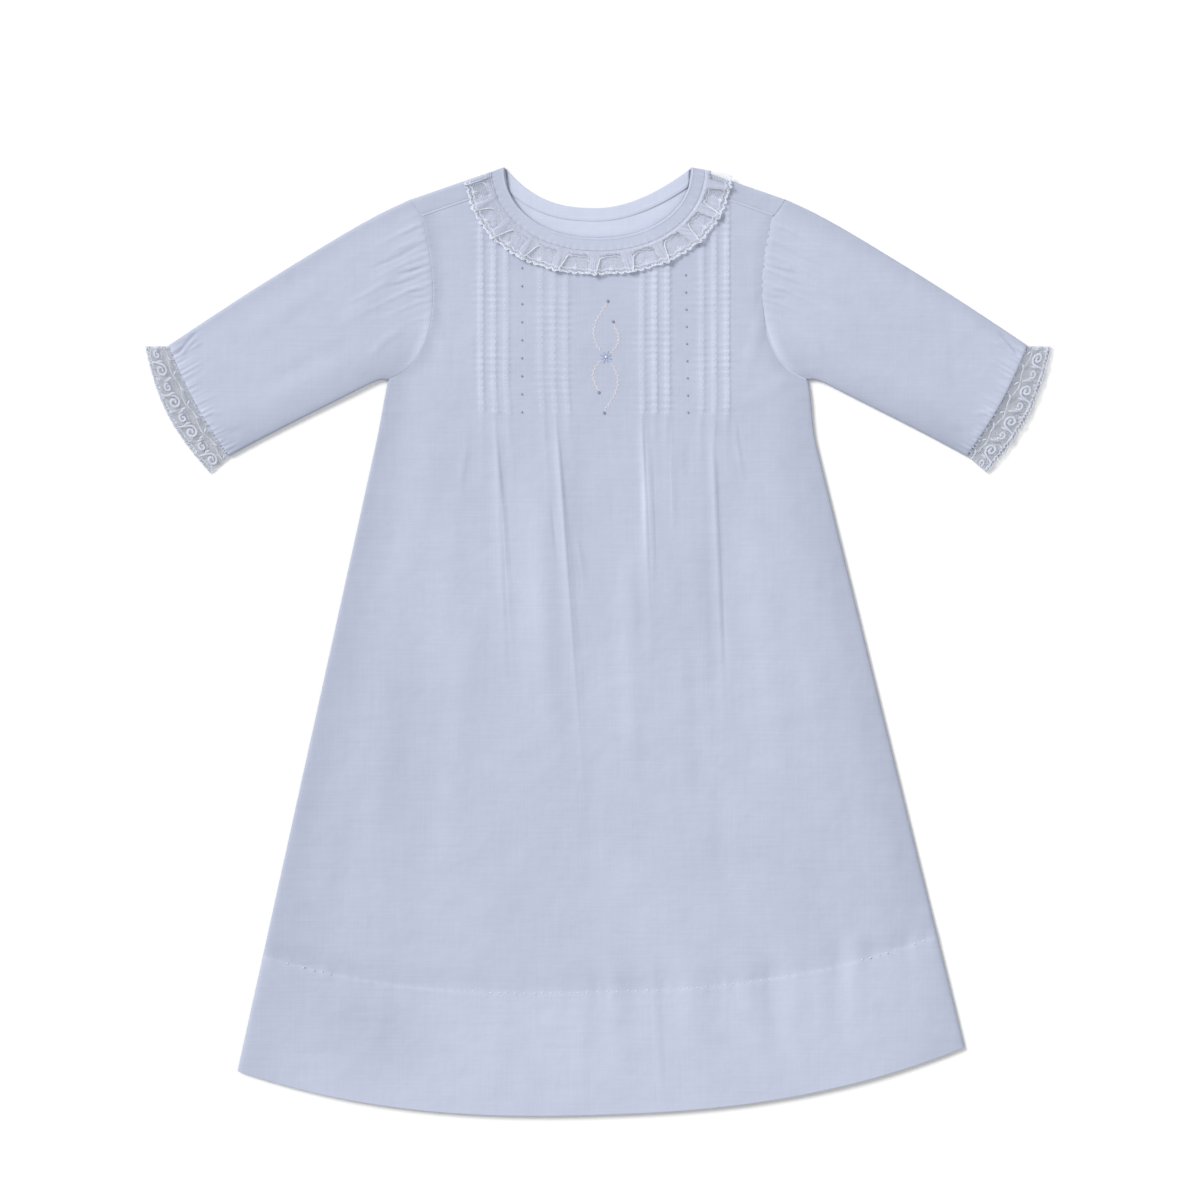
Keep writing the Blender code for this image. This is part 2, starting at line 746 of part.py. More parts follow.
def make_back_facing(material, gown):
    """The facing inside the back's neckline, which shows above the front's neckline."""
    rows = []
    for down in (0.0, 1.0):
        row = []
        for station in range(FACING_POINTS + 1):
            x = mix(-FACING_END, FACING_END, station / FACING_POINTS)
            slope = back_neck(x + 0.5) - back_neck(x - 0.5)
            depth = FACING_WIDTH * math.hypot(1.0, slope)
            low = max(back_neck(x) - depth, neck_curve(NECKLINE, x) + SEAM)
            row.append((x, mix(back_neck(x), low, down), BACK_TOP + SEAM))
        rows.append(row)
    return make_sheet("back_facing", rows, LACE, material, gown)


def main():
    gown = clear_scene()
    batiste = cloth_material("batiste", 0.85)
    lace = cloth_material("lace", 0.8)
    make_back(batiste, gown)
    make_front(batiste, gown)
    for name, side in (("left", 1), ("right", -1)):
        make_sleeve("sleeve_" + name, side, batiste, gown)
        make_cuff("cuff_frill_" + name, side, lace, gown)
    make_back_facing(batiste, gown)
    make_neck_band(batiste, gown)
    make_neck_frill(lace, gown)


main()
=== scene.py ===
"""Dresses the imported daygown: fine cloth, gathered lace, hand stitching and embroidery, in a plain studio.

The gown lies flat, front up. X runs across it, Y from the hem to the neck, and Z up from the surface.
Left and right are the wearer's, so the left sleeve lies at +X. Plan and height sizes are in
millimetres, and turn into metres where a mesh is made.
"""

import math

import bpy
import numpy as np
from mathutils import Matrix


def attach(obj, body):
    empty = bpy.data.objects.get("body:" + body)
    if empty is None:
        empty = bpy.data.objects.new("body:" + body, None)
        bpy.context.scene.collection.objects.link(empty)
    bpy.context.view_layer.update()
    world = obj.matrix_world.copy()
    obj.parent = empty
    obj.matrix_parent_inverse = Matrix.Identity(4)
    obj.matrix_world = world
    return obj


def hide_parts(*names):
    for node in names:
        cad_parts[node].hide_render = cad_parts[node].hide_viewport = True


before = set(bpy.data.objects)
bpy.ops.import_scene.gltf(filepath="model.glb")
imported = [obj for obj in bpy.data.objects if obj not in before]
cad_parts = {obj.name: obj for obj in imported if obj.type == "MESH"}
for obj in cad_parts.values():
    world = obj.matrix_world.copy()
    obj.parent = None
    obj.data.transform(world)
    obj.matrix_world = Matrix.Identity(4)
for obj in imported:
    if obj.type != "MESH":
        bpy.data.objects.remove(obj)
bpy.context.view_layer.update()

bl_info = {
    "name": "Daygown looks",
    "version": (1, 0, 0),
    "blender": (4, 5, 0),
    "location": "View3D > Sidebar > Daygown",
    "description": "Fine batiste, gathered lace, tucks, stitching and embroidery for a baby's daygown",
    "category": "Object",
}

MM = 0.001
BODY = "root"

# The wearer's two sides, and which way each lies along X
SIDES = (("left", 1.0), ("right", -1.0))

# Layers of the solids, and the thin cloth that replaces them
WALL = 1.2
SEAM = 0.3
FRONT_TOP = 2.0 * WALL + SEAM
NECK_UNDER = FRONT_TOP + SEAM
EDGE_RADIUS = FRONT_TOP / 2

# Outline of the body
NECK_POINT = (52.4, 266.5)
BACK_NECK_DEPTH = 22.6
BACK_NECK_POWER = (2.7, 1.8)
CHEST_HALF = 117.8
UNDERARM_Y = 147.5
SIDE_HOLLOW = (1.0, 4.2)
SIDE_HOLLOW_START = 0.10
HEM_Y = -265.5
HEM_TILT = 0.030
HEM_SWEEP = 31.0
HEM_SWEEP_HALF = 204.0
HEM_POWER = 2.4
STRAIGHT_GRAIN_HALF = 75.0

# Curves round the neck: half width, depth below the neck points, and roundness
NECKLINE = (NECK_POINT[0], 39.3, 2.12)
FRILL_SEAM = (60.0, 47.0, 2.12)
FRILL_EDGE = (75.0, 60.2, 2.20)
NECK_CORNER = (50.9, 256.1)
FRILL_END_DROP = (8.0, 4.0)
FRILL_END_REACH = 0.2
BAND_OVERLAP = 0.6
FACING_WIDTH = 7.4
FACING_END = 51.5
FACING_THICKNESS = 0.2

# Armhole seam, from the shoulder fold to the underarm. The second point ends the shoulder seam.
# (half width, height)
ARMHOLE = (
    (105.0, 248.3),
    (98.9, 239.5),
    (96.2, 229.0),
    (94.2, 218.0),
    (92.9, 206.0),
    (92.4, 195.0),
    (93.2, 183.0),
    (95.6, 172.0),
    (99.6, 162.5),
    (104.6, 155.5),
    (110.6, 150.6),
    (CHEST_HALF, UNDERARM_Y),
)

# Where the straight grain of the front runs to. (place across the chest, place at the hem)
GRAIN = (
    (-CHEST_HALF, -202.6),
    (-70.0, -72.0),
    (-58.7, -40.0),
    (-25.2, 6.0),
    (3.3, 27.0),
    (31.8, 45.0),
    (65.3, 80.0),
    (76.0, 104.0),
    (CHEST_HALF, 206.0),
)

# Pintucks
TUCK_MIDDLE = 3.3
TUCK_GROUPS = (-62.0, -28.5, 28.5, 62.0)
TUCK_PITCH = 7.1
TUCK_HALF = 1.9
# Places across one tuck where its cloth turns
TUCK_STEPS = (-1.9, -1.45, -0.95, 0.0, 0.95, 1.45, 1.9)
# How much further down the stitches of each tuck lie than those of the tuck before it
STITCH_SHIFT = 1.3
RELEASE_Y = 127.6
# Where the stitches of a tuck stop at the top, and how many it has at most
TUCK_TOP = 236.0
TUCK_STITCHES = 34
# How full and pale each tuck looks, from the wearer's right to the left
TUCK_FULLNESS = (1.0, 0.9, 0.7, 0.50, 0.55, 0.65, 0.75, 1.10, 1.0, 0.80, 0.90, 1.15)

# Soft folds that the tucks let out below their stitching
# (place across the chest, lower end, height, half width at the tuck, half width at the lower end)
FOLDS = (
    (-65.8, 70.0, 0.8, 3.0, 6.0),
    (-58.7, -125.0, 1.2, 3.5, 8.0),
    (-51.6, 60.0, 1.0, 3.0, 6.0),
    (-32.3, 40.0, 1.0, 3.0, 6.0),
    (-25.2, -175.0, 2.0, 3.5, 9.0),
    (-18.1, 75.0, 0.8, 3.0, 5.0),
    (24.7, -35.0, 1.7, 3.0, 7.0),
    (31.8, 75.0, 0.8, 3.0, 5.0),
    (38.9, 50.0, 0.9, 3.0, 6.0),
    (58.2, 60.0, 0.9, 3.0, 6.0),
    (65.3, -140.0, 1.5, 3.5, 9.0),
    (72.4, 75.0, 1.0, 3.0, 7.0),
)
FOLD_STEEP_SIDE = 0.30
FOLD_CREST_HALF = 3.04
FOLD_SMALL = 1.1

# Creases and broad soft waves of the front
# (first x, first y, last x, last y, bow, half width, height)
FRONT_CREASES = (
    (-58.5, 126.0, -47.5, -20.0, -1.4, 2.0, 0.40),
    (-56.4, 118.0, -45.5, -30.0, -1.4, 1.3, -0.36),
    (27.2, 123.0, 31.2, 28.0, -1.0, 1.6, 0.70),
    (66.5, 118.0, 71.6, -24.0, -0.5, 1.3, -0.42),
    (-21.6, 118.0, -9.5, -20.0, -0.8, 1.3, -0.35),
    (-71.4, 113.0, -78.1, 84.3, 0.8, 2.2, 0.45),
    (-69.0, 112.0, -75.5, 86.0, 0.8, 1.3, -0.35),
    (41.6, 124.0, 42.2, 62.0, 0.3, 1.4, 0.38),
    (50.0, 109.0, 50.6, 92.0, 0.2, 1.2, -0.60),
    (76.2, 124.2, 81.6, 94.6, 0.5, 1.8, 0.50),
    (78.2, 122.2, 83.6, 96.6, 0.5, 1.2, -0.35),
    (66.5, 126.0, 64.6, 106.0, 0.0, 1.6, 0.55),
    (71.0, 126.0, 65.4, 104.0, 0.6, 1.4, 0.45),
    (-25.9, 79.8, -22.5, 47.2, 0.6, 1.5, -0.40),
    (-12.9, 60.5, -7.9, 30.3, -0.8, 1.8, 0.35),
    (-1.7, 81.0, 13.5, 81.5, 0.6, 1.3, -0.18),
    (-2.0, 88.0, 11.5, 90.0, -0.6, 1.8, 0.15),
    (-49.0, 196.5, -13.0, 197.5, -0.8, 1.5, -0.16),
    (-30.0, 202.0, 0.0, 200.0, 0.6, 1.6, 0.14),
    (-24.0, 189.5, 6.0, 192.0, -0.5, 1.8, 0.12),
    (-104.0, -10.0, -112.0, -110.0, 2.0, 15.0, -0.60),
    (-66.0, 40.0, -84.0, -140.0, 3.0, 12.0, 0.50),
    (-33.0, 90.0, -26.0, -70.0, 0.0, 9.0, 0.55),
    (-4.0, -60.0, -4.0, -140.0, 0.0, 10.0, -0.50),
    (16.0, 60.0, 20.0, -90.0, 0.0, 8.0, 0.50),
    (52.0, 30.0, 58.0, -100.0, 0.0, 8.0, -0.50),
    (84.0, 60.0, 104.0, -90.0, -3.0, 13.0, 0.50),
    (68.0, -75.0, 72.0, -145.0, 0.0, 11.0, -0.45),
    (118.0, 40.0, 146.0, -140.0, -4.0, 12.0, -0.45),
    (-136.0, -60.0, -158.0, -170.0, 3.0, 13.0, 0.55),
    (158.0, -60.0, 176.0, -165.0, 2.0, 12.0, 0.45),
    (-88.0, 120.0, -110.0, 20.0, 2.0, 13.0, 0.50),
    (98.0, 118.0, 116.0, 40.0, 2.0, 11.0, 0.40),
    (30.0, -170.0, 36.0, -262.0, 0.0, 4.0, 0.30),
    (-9.0, -210.0, -10.0, -266.0, 0.0, 6.0, 0.25),
    (-52.0, -185.0, -60.0, -262.0, 0.0, 9.0, 0.30),
    (-120.0, -190.0, -128.0, -245.0, 0.0, 8.0, 0.35),
    (88.0, -185.0, 96.0, -250.0, 0.0, 9.0, 0.30),
    (150.0, -165.0, 158.0, -230.0, 0.0, 8.0, 0.30),
    (102.0, 205.0, 84.0, 150.0, 2.0, 6.0, 0.35),
    (-102.0, 205.0, -84.0, 150.0, -2.0, 6.0, 0.35),
    (-108.0, 150.0, -76.0, 132.0, 3.0, 7.0, 0.30),
    (108.0, 150.0, 76.0, 132.0, -3.0, 7.0, 0.30),
)

# Soft patches of painted shade and painted highlight, where broad soft folds turn to or from the light; a few
# are paler where more layers show through
# (x, y, half width, half height, change of tone)
FRONT_PAINTED_SHADING = (
    (-39.0, 30.0, 15.0, 120.0, 0.16),
    (-150.0, -200.0, 60.0, 60.0, -0.06),
    (-16.0, -20.0, 9.0, 70.0, -0.07),
    (-13.0, 72.0, 9.0, 62.0, -0.12),
    (26.4, 84.0, 3.0, 38.0, 0.40),
    (25.0, 48.0, 6.0, 26.0, 0.12),
    (-77.0, 46.0, 11.0, 62.0, -0.08),
    (66.8, 110.0, 3.0, 12.0, 0.25),
    (14.0, 10.0, 13.0, 95.0, 0.08),
    (61.0, 25.0, 11.0, 100.0, -0.12),
    (88.0, 40.0, 16.0, 110.0, 0.08),
    (-92.0, 30.0, 24.0, 120.0, 0.07),
    (-108.0, -70.0, 22.0, 110.0, -0.12),
    (-128.0, -215.0, 55.0, 42.0, -0.20),
    (-40.0, -215.0, 70.0, 36.0, 0.05),
    (120.0, -140.0, 40.0, 90.0, -0.06),
    (3.0, 150.0, 22.0, 60.0, -0.06),
    (-58.7, 180.0, 15.0, 85.0, 0.06),
    (-25.2, 180.0, 15.0, 85.0, 0.06),
    (31.8, 180.0, 15.0, 85.0, 0.06),
    (65.3, 180.0, 15.0, 85.0, 0.06),
    (30.0, -150.0, 40.0, 60.0, 0.05),
)

# Air under the front where the two layers of the body part a little
BODY_LIFT = 0.8
BODY_LIFT_MARGIN = 26.0
BODY_LIFT_TOP = 225.0
BODY_LIFT_RUN = 110.0

# Hem, and how far in the sides of the skirt roll down
SKIRT_LENGTH = 420.0
HEM_START = 0.832
SIDE_ROLL = 0.9
SIDE_EDGE_STEPS = (0.0, 0.12, 0.4)
HEM_STITCH_SPAN = (-198.0, 202.0)

# Rows of the meshes: where each stretch ends, and its number of steps
FRONT_ROWS = ((1.0, 111), (1.05, 18), (1.81, 55), (1.855, 15), (1.995, 9), (1.9985, 1), (1.9995, 1), (2.0, 1))
BACK_ROWS = ((1.0, 25), (1.995, 78), (1.999, 1), (2.0, 1))
SLEEVE_RINGS = (
    (0.0012, 1),
    (0.0035, 1),
    (0.0075, 1),
    (0.14, 16),
    (0.88, 41),
    (0.993, 14),
    (0.9965, 1),
    (0.9988, 1),
    (1.0, 1),
)
SLEEVE_COLUMNS = 220

# Sleeve. (half width, height) along the shoulder edge, from the armhole to the frill
SLEEVE_TOP = ((105.0, 248.3), (122.3, 240.6), (146.2, 227.1), (190.0, 200.1), (220.9, 179.9), (241.0, 166.4))
SLEEVE_UNDER = ((CHEST_HALF, UNDERARM_Y), (123.8, 147.9), (140.0, 139.4), (180.2, 119.2), (207.2, 104.7))
SLEEVE_END_BULGE = 2.4
SLEEVE_END_WIDTH = 71.0
SLEEVE_LIFT = 1.4
SLEEVE_LIFT_ROUNDNESS = 0.8
SLEEVE_LIFT_START = 0.3
SLEEVE_LIFT_FADE = 0.6
CUFF_DROP = 0.2
CUFF_WIDTHS = (70.0, 80.0)
CUFF_EDGE_RADIUS = 0.95
CUFF_TOP_CORNER = (255.0, 165.9)
CUFF_UNDER_CORNER = (218.8, 95.0)
CUFF_BULGE = 6.2

# Gathers in the sleeve's head: place along the armhole, half width, how far each runs, and its height
HEAD_GATHERS = (
    (0.08, 1.1, 16, 0.35),
    (0.13, 1.3, 34, 0.60),
    (0.17, 0.9, 14, 0.40),
    (0.21, 1.2, 26, 0.65),
    (0.25, 0.9, 12, 0.45),
    (0.285, 1.3, 40, 0.70),
    (0.325, 1.0, 20, 0.55),
    (0.36, 1.2, 30, 0.90),
    (0.395, 0.9, 14, 0.60),
    (0.43, 1.4, 52, 0.85),
    (0.47, 1.0, 18, 0.60),
    (0.51, 1.3, 36, 0.70),
    (0.55, 1.0, 16, 0.40),
    (0.60, 1.2, 24, 0.40),
    (0.66, 1.0, 12, 0.25),
)

# Creases of a sleeve, in the same columns as the front's, on the wearer's left
SLEEVE_CREASES = (
    (237.5, 158.5, 223.5, 175.5, 0.8, 1.6, -0.75),
    (234.8, 160.2, 225.6, 171.0, 0.4, 1.3, 0.65),
    (230.5, 163.0, 222.0, 168.5, 0.3, 1.2, 0.45),
    (224.0, 129.0, 211.0, 127.6, 0.6, 1.6, 0.40),
    (214.0, 118.0, 198.0, 120.0, -1.2, 3.5, -0.35),
    (95.0, 213.0, 111.0, 209.2, 0.4, 1.1, 0.75),
    (97.0, 210.4, 116.0, 205.6, 0.4, 1.2, -0.50),
    (94.0, 199.0, 110.5, 198.0, 0.3, 1.0, 0.60),
    (96.0, 205.8, 124.0, 198.6, 0.8, 1.3, -0.45),
    (97.5, 229.0, 117.0, 219.5, 0.6, 1.6, 0.45),
    (98.0, 224.0, 130.0, 208.8, 1.0, 1.6, -0.50),
    (94.0, 193.0, 108.0, 193.6, 0.2, 1.1, -0.40),
    (100.0, 235.0, 112.0, 229.0, 0.3, 1.5, 0.40),
    (118.0, 203.0, 142.0, 190.0, 0.8, 2.2, 0.35),
    (112.0, 214.0, 150.0, 176.0, 4.0, 7.0, 0.35),
    (108.0, 176.0, 128.0, 158.0, -3.0, 4.0, 0.40),
    (150.0, 208.0, 200.0, 172.0, 3.0, 9.0, 0.40),
    (135.0, 166.0, 190.0, 140.0, -3.0, 9.0, -0.40),
)

# Rows of small uneven ridges that run away from the armhole, the sleeve's head and the sleeve's end.
# The head's span is in shares of the armhole, and the others are in millimetres.
ARMHOLE_PUCKERS = {
    "count": 15,
    "span": (231.0, 176.0),
    "stray": 1.2,
    "seed": 5,
    "lengths": (4.0, 14.0),
    "heights": (0.05, 0.40),
    "half": 1.2,
}
HEAD_PUCKERS = {
    "count": 24,
    "span": (0.05, 0.72),
    "stray": 1.6,
    "seed": 21,
    "lengths": (2.5, 9.0),
    "heights": (-0.15, 0.30),
    "half": 1.0,
}
END_PUCKERS = {
    "count": 26,
    "span": (2.0, 69.0),
    "stray": 0.8,
    "seed": 31,
    "lengths": (4.0, 15.0),
    "heights": (0.25, 0.95),
    "half": 1.25,
}

# Lace. Kinds of its threads, each with its own material; the worked and scroll ones are darker copies of the
# same thread, as painted shade
LACE_KINDS = ("net", "cord", "worked", "scroll")
NET, CORD, CLOSE, SCROLL = range(len(LACE_KINDS))
NET_PITCH = 1.0
NECK_WAVES = 11
NECK_WAVE_HEIGHT = 1.7
NECK_WAVE_AT_SEAM = 0.25
NECK_PLEAT_PHASE = 0.68
NECK_SCALLOP = 0.6
# Outline of one net window of the neck lace: (share of a repeat, depth), from one foot to the other
WINDOW = (
    (0.07, 14.4),
    (0.09, 7.0),
    (0.12, 4.4),
    (0.18, 3.6),
    (0.45, 3.3),
    (0.70, 3.8),
    (0.76, 5.2),
    (0.90, 14.4),
)
WINDOW_EYE = (0.46, 9.6)
EYELET_DEPTH = 2.6
EDGE_CORD_INSET = 0.5
# Cords along a strip: place from the heading or from the edge, and radius
HEADING_CORDS = ((0.35, 0.28), (1.25, 0.18))
EDGE_CORDS = ((EDGE_CORD_INSET, 0.25), (EYELET_DEPTH, 0.20))
FRILL_RISE = 1.1
# Strips laid out flat: length, depth, number of scallops, and how deep these are
NECK_STRIP = (222.0, 14.4, 4 * NECK_WAVES, 0.9)
CUFF_STRIP = (152.0, 18.5, 40, 0.5)
CUFF_REPEATS = 8
# Leaves of the cuffs' pattern: root and tip in shares of a repeat and of the depth, and the width
SCROLL_LEAVES = (
    (0.06, 0.30, 0.03, 0.52, 0.90),
    (0.60, 0.66, 0.58, 0.40, 0.95),
    (0.10, 0.24, 0.24, 0.10, 0.85),
    (0.55, 0.10, 0.70, 0.20, 0.85),
    (0.12, 0.90, 0.08, 0.70, 0.80),
    (0.99, 0.64, 0.98, 0.42, 0.80),
)
CUFF_WAVES = 9
CUFF_WAVE_HEIGHT = 1.3
CUFF_WAVE_AT_SEAM = 0.35
CUFF_LIFT = 0.3

# Stitches. (share of the length, share of the thickness) along a rounded one
STITCH_PROFILE = ((0.0, 0.02), (0.12, 0.6), (0.35, 1.0), (0.65, 1.0), (0.88, 0.6), (1.0, 0.02))
STITCH_SIDES = 6
CUFF_STITCHES = 44
ARMHOLE_STITCHES = 24
NECK_STITCHES = 120
SEAM_TONE = 0.52
# Length of one twist of a thread, in metres
THREAD_TWIST = 0.0006

# Embroidery: the middle of the flower, its rays, and its stems as (bow, run, lean)
FLOWER = np.array([4.4, 160.0])
FLOWER_RAYS = 8
RAY_LENGTHS = (3.3, 3.9)
STEMS = ((-7.2, 30.5, 1.0), (5.2, 19.0, 4.0))
STEM_STITCH = 1.35
# Columns of knots: (place across at the top, lean, top, bottom)
KNOT_COLUMNS = ((-42.7, 0.0, 210.0, 129.0), (49.2, 1.4, 206.0, 128.8))
KNOTS_IN_COLUMN = 9

# Frame of the photograph, in the object's own sizes: 1200 pixels across, seen from straight above
PHOTO_PIXELS = 1200
PIXEL = 0.5622
PHOTO_CENTRE = (1.1, 23.6)
CAMERA_HEIGHT = 2.6

# Floor and light. Each sun has a name, a place that it shines from, a width in degrees, and a power
FLOOR_HALF = 4000.0
FLOOR_Z = -0.3
WORLD_STRENGTH = 0.56
SUNS = (("key", (-1.15, 0.85, 1.35), 25.0, 2.45), ("fill", (1.2, -0.9, 2.4), 40.0, 0.25))


class ClothSettings(bpy.types.PropertyGroup):
    """Colours and sizes of the cloth and the lace."""

    # Painted highlight: the pale end of the batiste's tone, used where the cloth is double and where it is
    # painted as catching the light.
    pale: bpy.props.FloatVectorProperty(
        name="Pale cloth",
        description="Colour of the batiste where it is double or catches the light",
        default=(0.585, 0.625, 0.76),
        subtype="COLOR",
    )
    # Painted shade: the deep end of the batiste's tone, used where the cloth is painted as turning away from
    # the light.
    deep: bpy.props.FloatVectorProperty(
        name="Deep cloth",
        description="Colour of the batiste where it turns away",
        default=(0.355, 0.39, 0.49),
        subtype="COLOR",
    )
    net: bpy.props.FloatVectorProperty(
        name="Net",
        description="Colour of the lace's net",
        default=(0.80, 0.84, 1.0),
        subtype="COLOR",
    )
    cord: bpy.props.FloatVectorProperty(
        name="Lace cord",
        description="Colour of the lace's cords and edging",
        default=(0.80, 0.84, 0.97),
        subtype="COLOR",
    )
    # A darker copy of the lace thread: painted shade that keeps the close work from glaring where it catches
    # the light.
    worked: bpy.props.FloatVectorProperty(
        name="Close work",
        description="Colour of the lace's close stitches",
        default=(0.60, 0.635, 0.75),
        subtype="COLOR",
    )
    # A darker copy of the lace thread: painted shade that keeps the raised scrolls and leaves from glaring in
    # the light.
    scroll: bpy.props.FloatVectorProperty(
        name="Lace scrolls",
        description="Colour of the cuffs' worked scrolls and leaves",
        default=(0.56, 0.59, 0.69),
        subtype="COLOR",
    )
    thickness: bpy.props.FloatProperty(
        name="Cloth thickness",
        description="Thickness of one layer of batiste with its nap",
        default=0.00035,
        unit="LENGTH",
    )
    weave: bpy.props.FloatProperty(
        name="Weave pitch",
        description="Distance between two threads of the batiste",
        default=0.00036,
        unit="LENGTH",
    )


class SewingSettings(bpy.types.PropertyGroup):
    """Sizes and colours of the tucks, the stitches and the embroidery."""

    tuck_height: bpy.props.FloatProperty(
        name="Tuck height",
        description="Height of a pintuck over the cloth beside it",
        default=0.0005,
        unit="LENGTH",
    )
    tuck_stitch: bpy.props.FloatProperty(
        name="Tuck stitch",
        description="Distance between two stitches of a pintuck",
        default=0.0039,
        unit="LENGTH",
    )
    hem_stitch: bpy.props.FloatProperty(
        name="Hem stitch",
        description="Distance between two stitches of the hem",
        default=0.0052,
        unit="LENGTH",
    )
    white: bpy.props.FloatVectorProperty(
        name="Sewing thread",
        description="Colour of the white sewing thread",
        default=(0.64, 0.68, 0.80),
        subtype="COLOR",
    )
    blue: bpy.props.FloatVectorProperty(
        name="Blue floss",
        description="Colour of the flower's petals",
        default=(0.37, 0.45, 0.65),
        subtype="COLOR",
    )
    lavender: bpy.props.FloatVectorProperty(
        name="Lavender floss",
        description="Colour of the knots",
        default=(0.31, 0.335, 0.48),
        subtype="COLOR",
    )
    ecru: bpy.props.FloatVectorProperty(
        name="Ecru floss",
        description="Colour of the stems",
        default=(0.79, 0.73, 0.73),
        subtype="COLOR",
    )


def smooth(share):
    """Eases a share from 0 to 1, with no kink at either end."""
    share = np.clip(share, 0.0, 1.0)
    return share * share * (3.0 - 2.0 * share)


def mix(start, end, share):
    """The value that lies that share of the way from start to end."""
    return start + (end - start) * share


def hump(distance, half):
    """1 at the middle of a soft ridge, and 0 from half its width outwards."""
    return 1.0 - smooth(np.abs(distance) / half)


def uneven(count, seed, low=0.0, high=1.0):
    """A fixed set of uneven numbers."""
    return np.random.default_rng(seed).uniform(low, high, count)


def spread(start, end, widest):
    """Evenly spaced places from start to end, without start itself."""
    count = max(1, math.ceil(abs(end - start) / widest))
    return [start + (end - start) * (k + 1) / count for k in range(count)]


def stepped(stretches):
    """Places from 0 on, from a table of stretches: where each one ends, and its number of steps."""
    places = [0.0]
    for end, steps in stretches:
        places += np.linspace(places[-1], end, steps + 1)[1:].tolist()
    return places


def by_side(x, values):
    """The first value on the wearer's right, and the second on the left."""
    return np.where(x > 0.0, values[1], values[0])


def mirrored(points, side):
    """Points of the wearer's left, or with side -1 the same on the right."""
    return points * np.array([side, 1.0])


def raised(plan, height):
    """Points of the plan at a height."""
    return np.column_stack([plan, np.broadcast_to(height, len(plan))])


def left_of(ahead):
    """Unit directions of the plan, square to some others and to their left."""
    side = np.stack([-ahead[:, 1], ahead[:, 0]], axis=1)
    return side / np.maximum(1e-9, np.linalg.norm(side, axis=1, keepdims=True))


class Line:
    """A line in the plan, read by its share of length. Its corners can be rounded, with its ends kept."""

    def __init__(self, points, rounds=0):
        points = np.array(points, float)
        for _ in range(rounds):
            cut = np.stack([mix(points[:-1], points[1:], 0.25), mix(points[:-1], points[1:], 0.75)], axis=1)
            points = np.concatenate([points[:1], cut.reshape(-1, points.shape[1]), points[-1:]])
        steps = np.linalg.norm(np.diff(points, axis=0), axis=1)
        self.points = points
        self.length = steps.sum()
        self.shares = np.concatenate([[0.0], np.cumsum(steps)]) / self.length

    def at(self, share):
        """The points at an array of shares."""
        return np.stack([np.interp(share, self.shares, values) for values in self.points.T], axis=-1)


ARMHOLE_LINE = Line(ARMHOLE, 2)


def neck_curve(curve, x):
    """Height of one of the curves round the neck, at a place across it."""
    half, depth, power = curve
    share = np.clip(np.abs(x) / half, 0.0, 1.0)
    return NECK_POINT[1] - depth * (1.0 - share**power) ** (1.0 / power)


def neck_point(curve, turn):
    """A point of one of those curves: turn 0 is at the wearer's left, 0.5 at the front, 1 at the right."""
    half, depth, power = curve
    across = np.cos(np.pi * turn)
    down = np.sin(np.pi * turn)
    reach = (np.abs(across) ** power + np.abs(down) ** power) ** (-1.0 / power)
    return np.stack([half * across * reach, NECK_POINT[1] - depth * down * reach], axis=-1)


def frill_point(turn, out):
    """A point of the band and the frill: out is 0 at the neckline, 1 at the seam, 2 at the frill's edge."""
    seam = neck_point(FRILL_SEAM, turn)
    band = mix(neck_point(NECKLINE, turn), seam, out[..., None])
    frill = mix(seam, neck_point(FRILL_EDGE, turn), out[..., None] - 1.0)
    points = np.where(out[..., None] < 1.0, band, frill)
    beyond = (np.abs(points[..., 0]) - NECK_POINT[0]) / (FRILL_EDGE[0] - NECK_POINT[0])
    near_end = 1.0 - smooth(np.sin(np.pi * turn) / FRILL_END_REACH)
    points[..., 1] -= by_side(points[..., 0], FRILL_END_DROP) * np.clip(beyond, 0.0, None) * near_end
    return points


def frill_share(x, y):
    """0 on the seam of the neck frill and inside it, 1 on the frill's edge and beyond."""
    down = np.clip(NECK_POINT[1] - y, 0.0, None)
    inner, outer = (
        ((np.abs(x) / half) ** power + (down / depth) ** power) ** (1.0 / power)
        for half, depth, power in (FRILL_SEAM, FRILL_EDGE)
    )
    return np.clip((inner - 1.0) / np.maximum(1e-6, inner - outer), 0.0, 1.0)


def back_neck(x):
    """Height of the back's neckline."""
    share = np.clip(np.abs(x) / NECK_POINT[0], 0.0, 1.0)
    return NECK_POINT[1] - BACK_NECK_DEPTH * (1.0 - share ** by_side(x, BACK_NECK_POWER))


def shoulder(x, inner, outer):
    """Height of a straight line over either shoulder, between two points of (half width, height)."""
    return mix(inner[1], outer[1], (np.abs(x) - inner[0]) / (outer[0] - inner[0]))


def front_top(x):
    """Height of the front's top edge. At the neck it stops a little below the band's own edge."""
    seam = shoulder(x, NECK_CORNER, ARMHOLE[1])
    return np.where(np.abs(x) < NECK_CORNER[0], neck_curve(NECKLINE, x) - BAND_OVERLAP, seam - SEAM)


def back_top(x):
    """Height of the back's top edge: shoulder fold, neckline, shoulder fold."""
    return np.where(np.abs(x) >= NECK_POINT[0], shoulder(x, NECK_POINT, ARMHOLE[0]), back_neck(x))


def hem_height(x):
    """Height of the hem's edge, which sweeps up to the side seams."""
    return HEM_Y + HEM_TILT * x + HEM_SWEEP * np.abs(x / HEM_SWEEP_HALF) ** HEM_POWER


def hem_place(place):
    """Where the grain that crosses the chest at a place ends at the hem."""
    return np.interp(place, *zip(*GRAIN))


def armhole_half(y):
    """Half width of the body at a height in the armhole."""
    return np.interp(-y, -ARMHOLE_LINE.points[:, 1], ARMHOLE_LINE.points[:, 0])


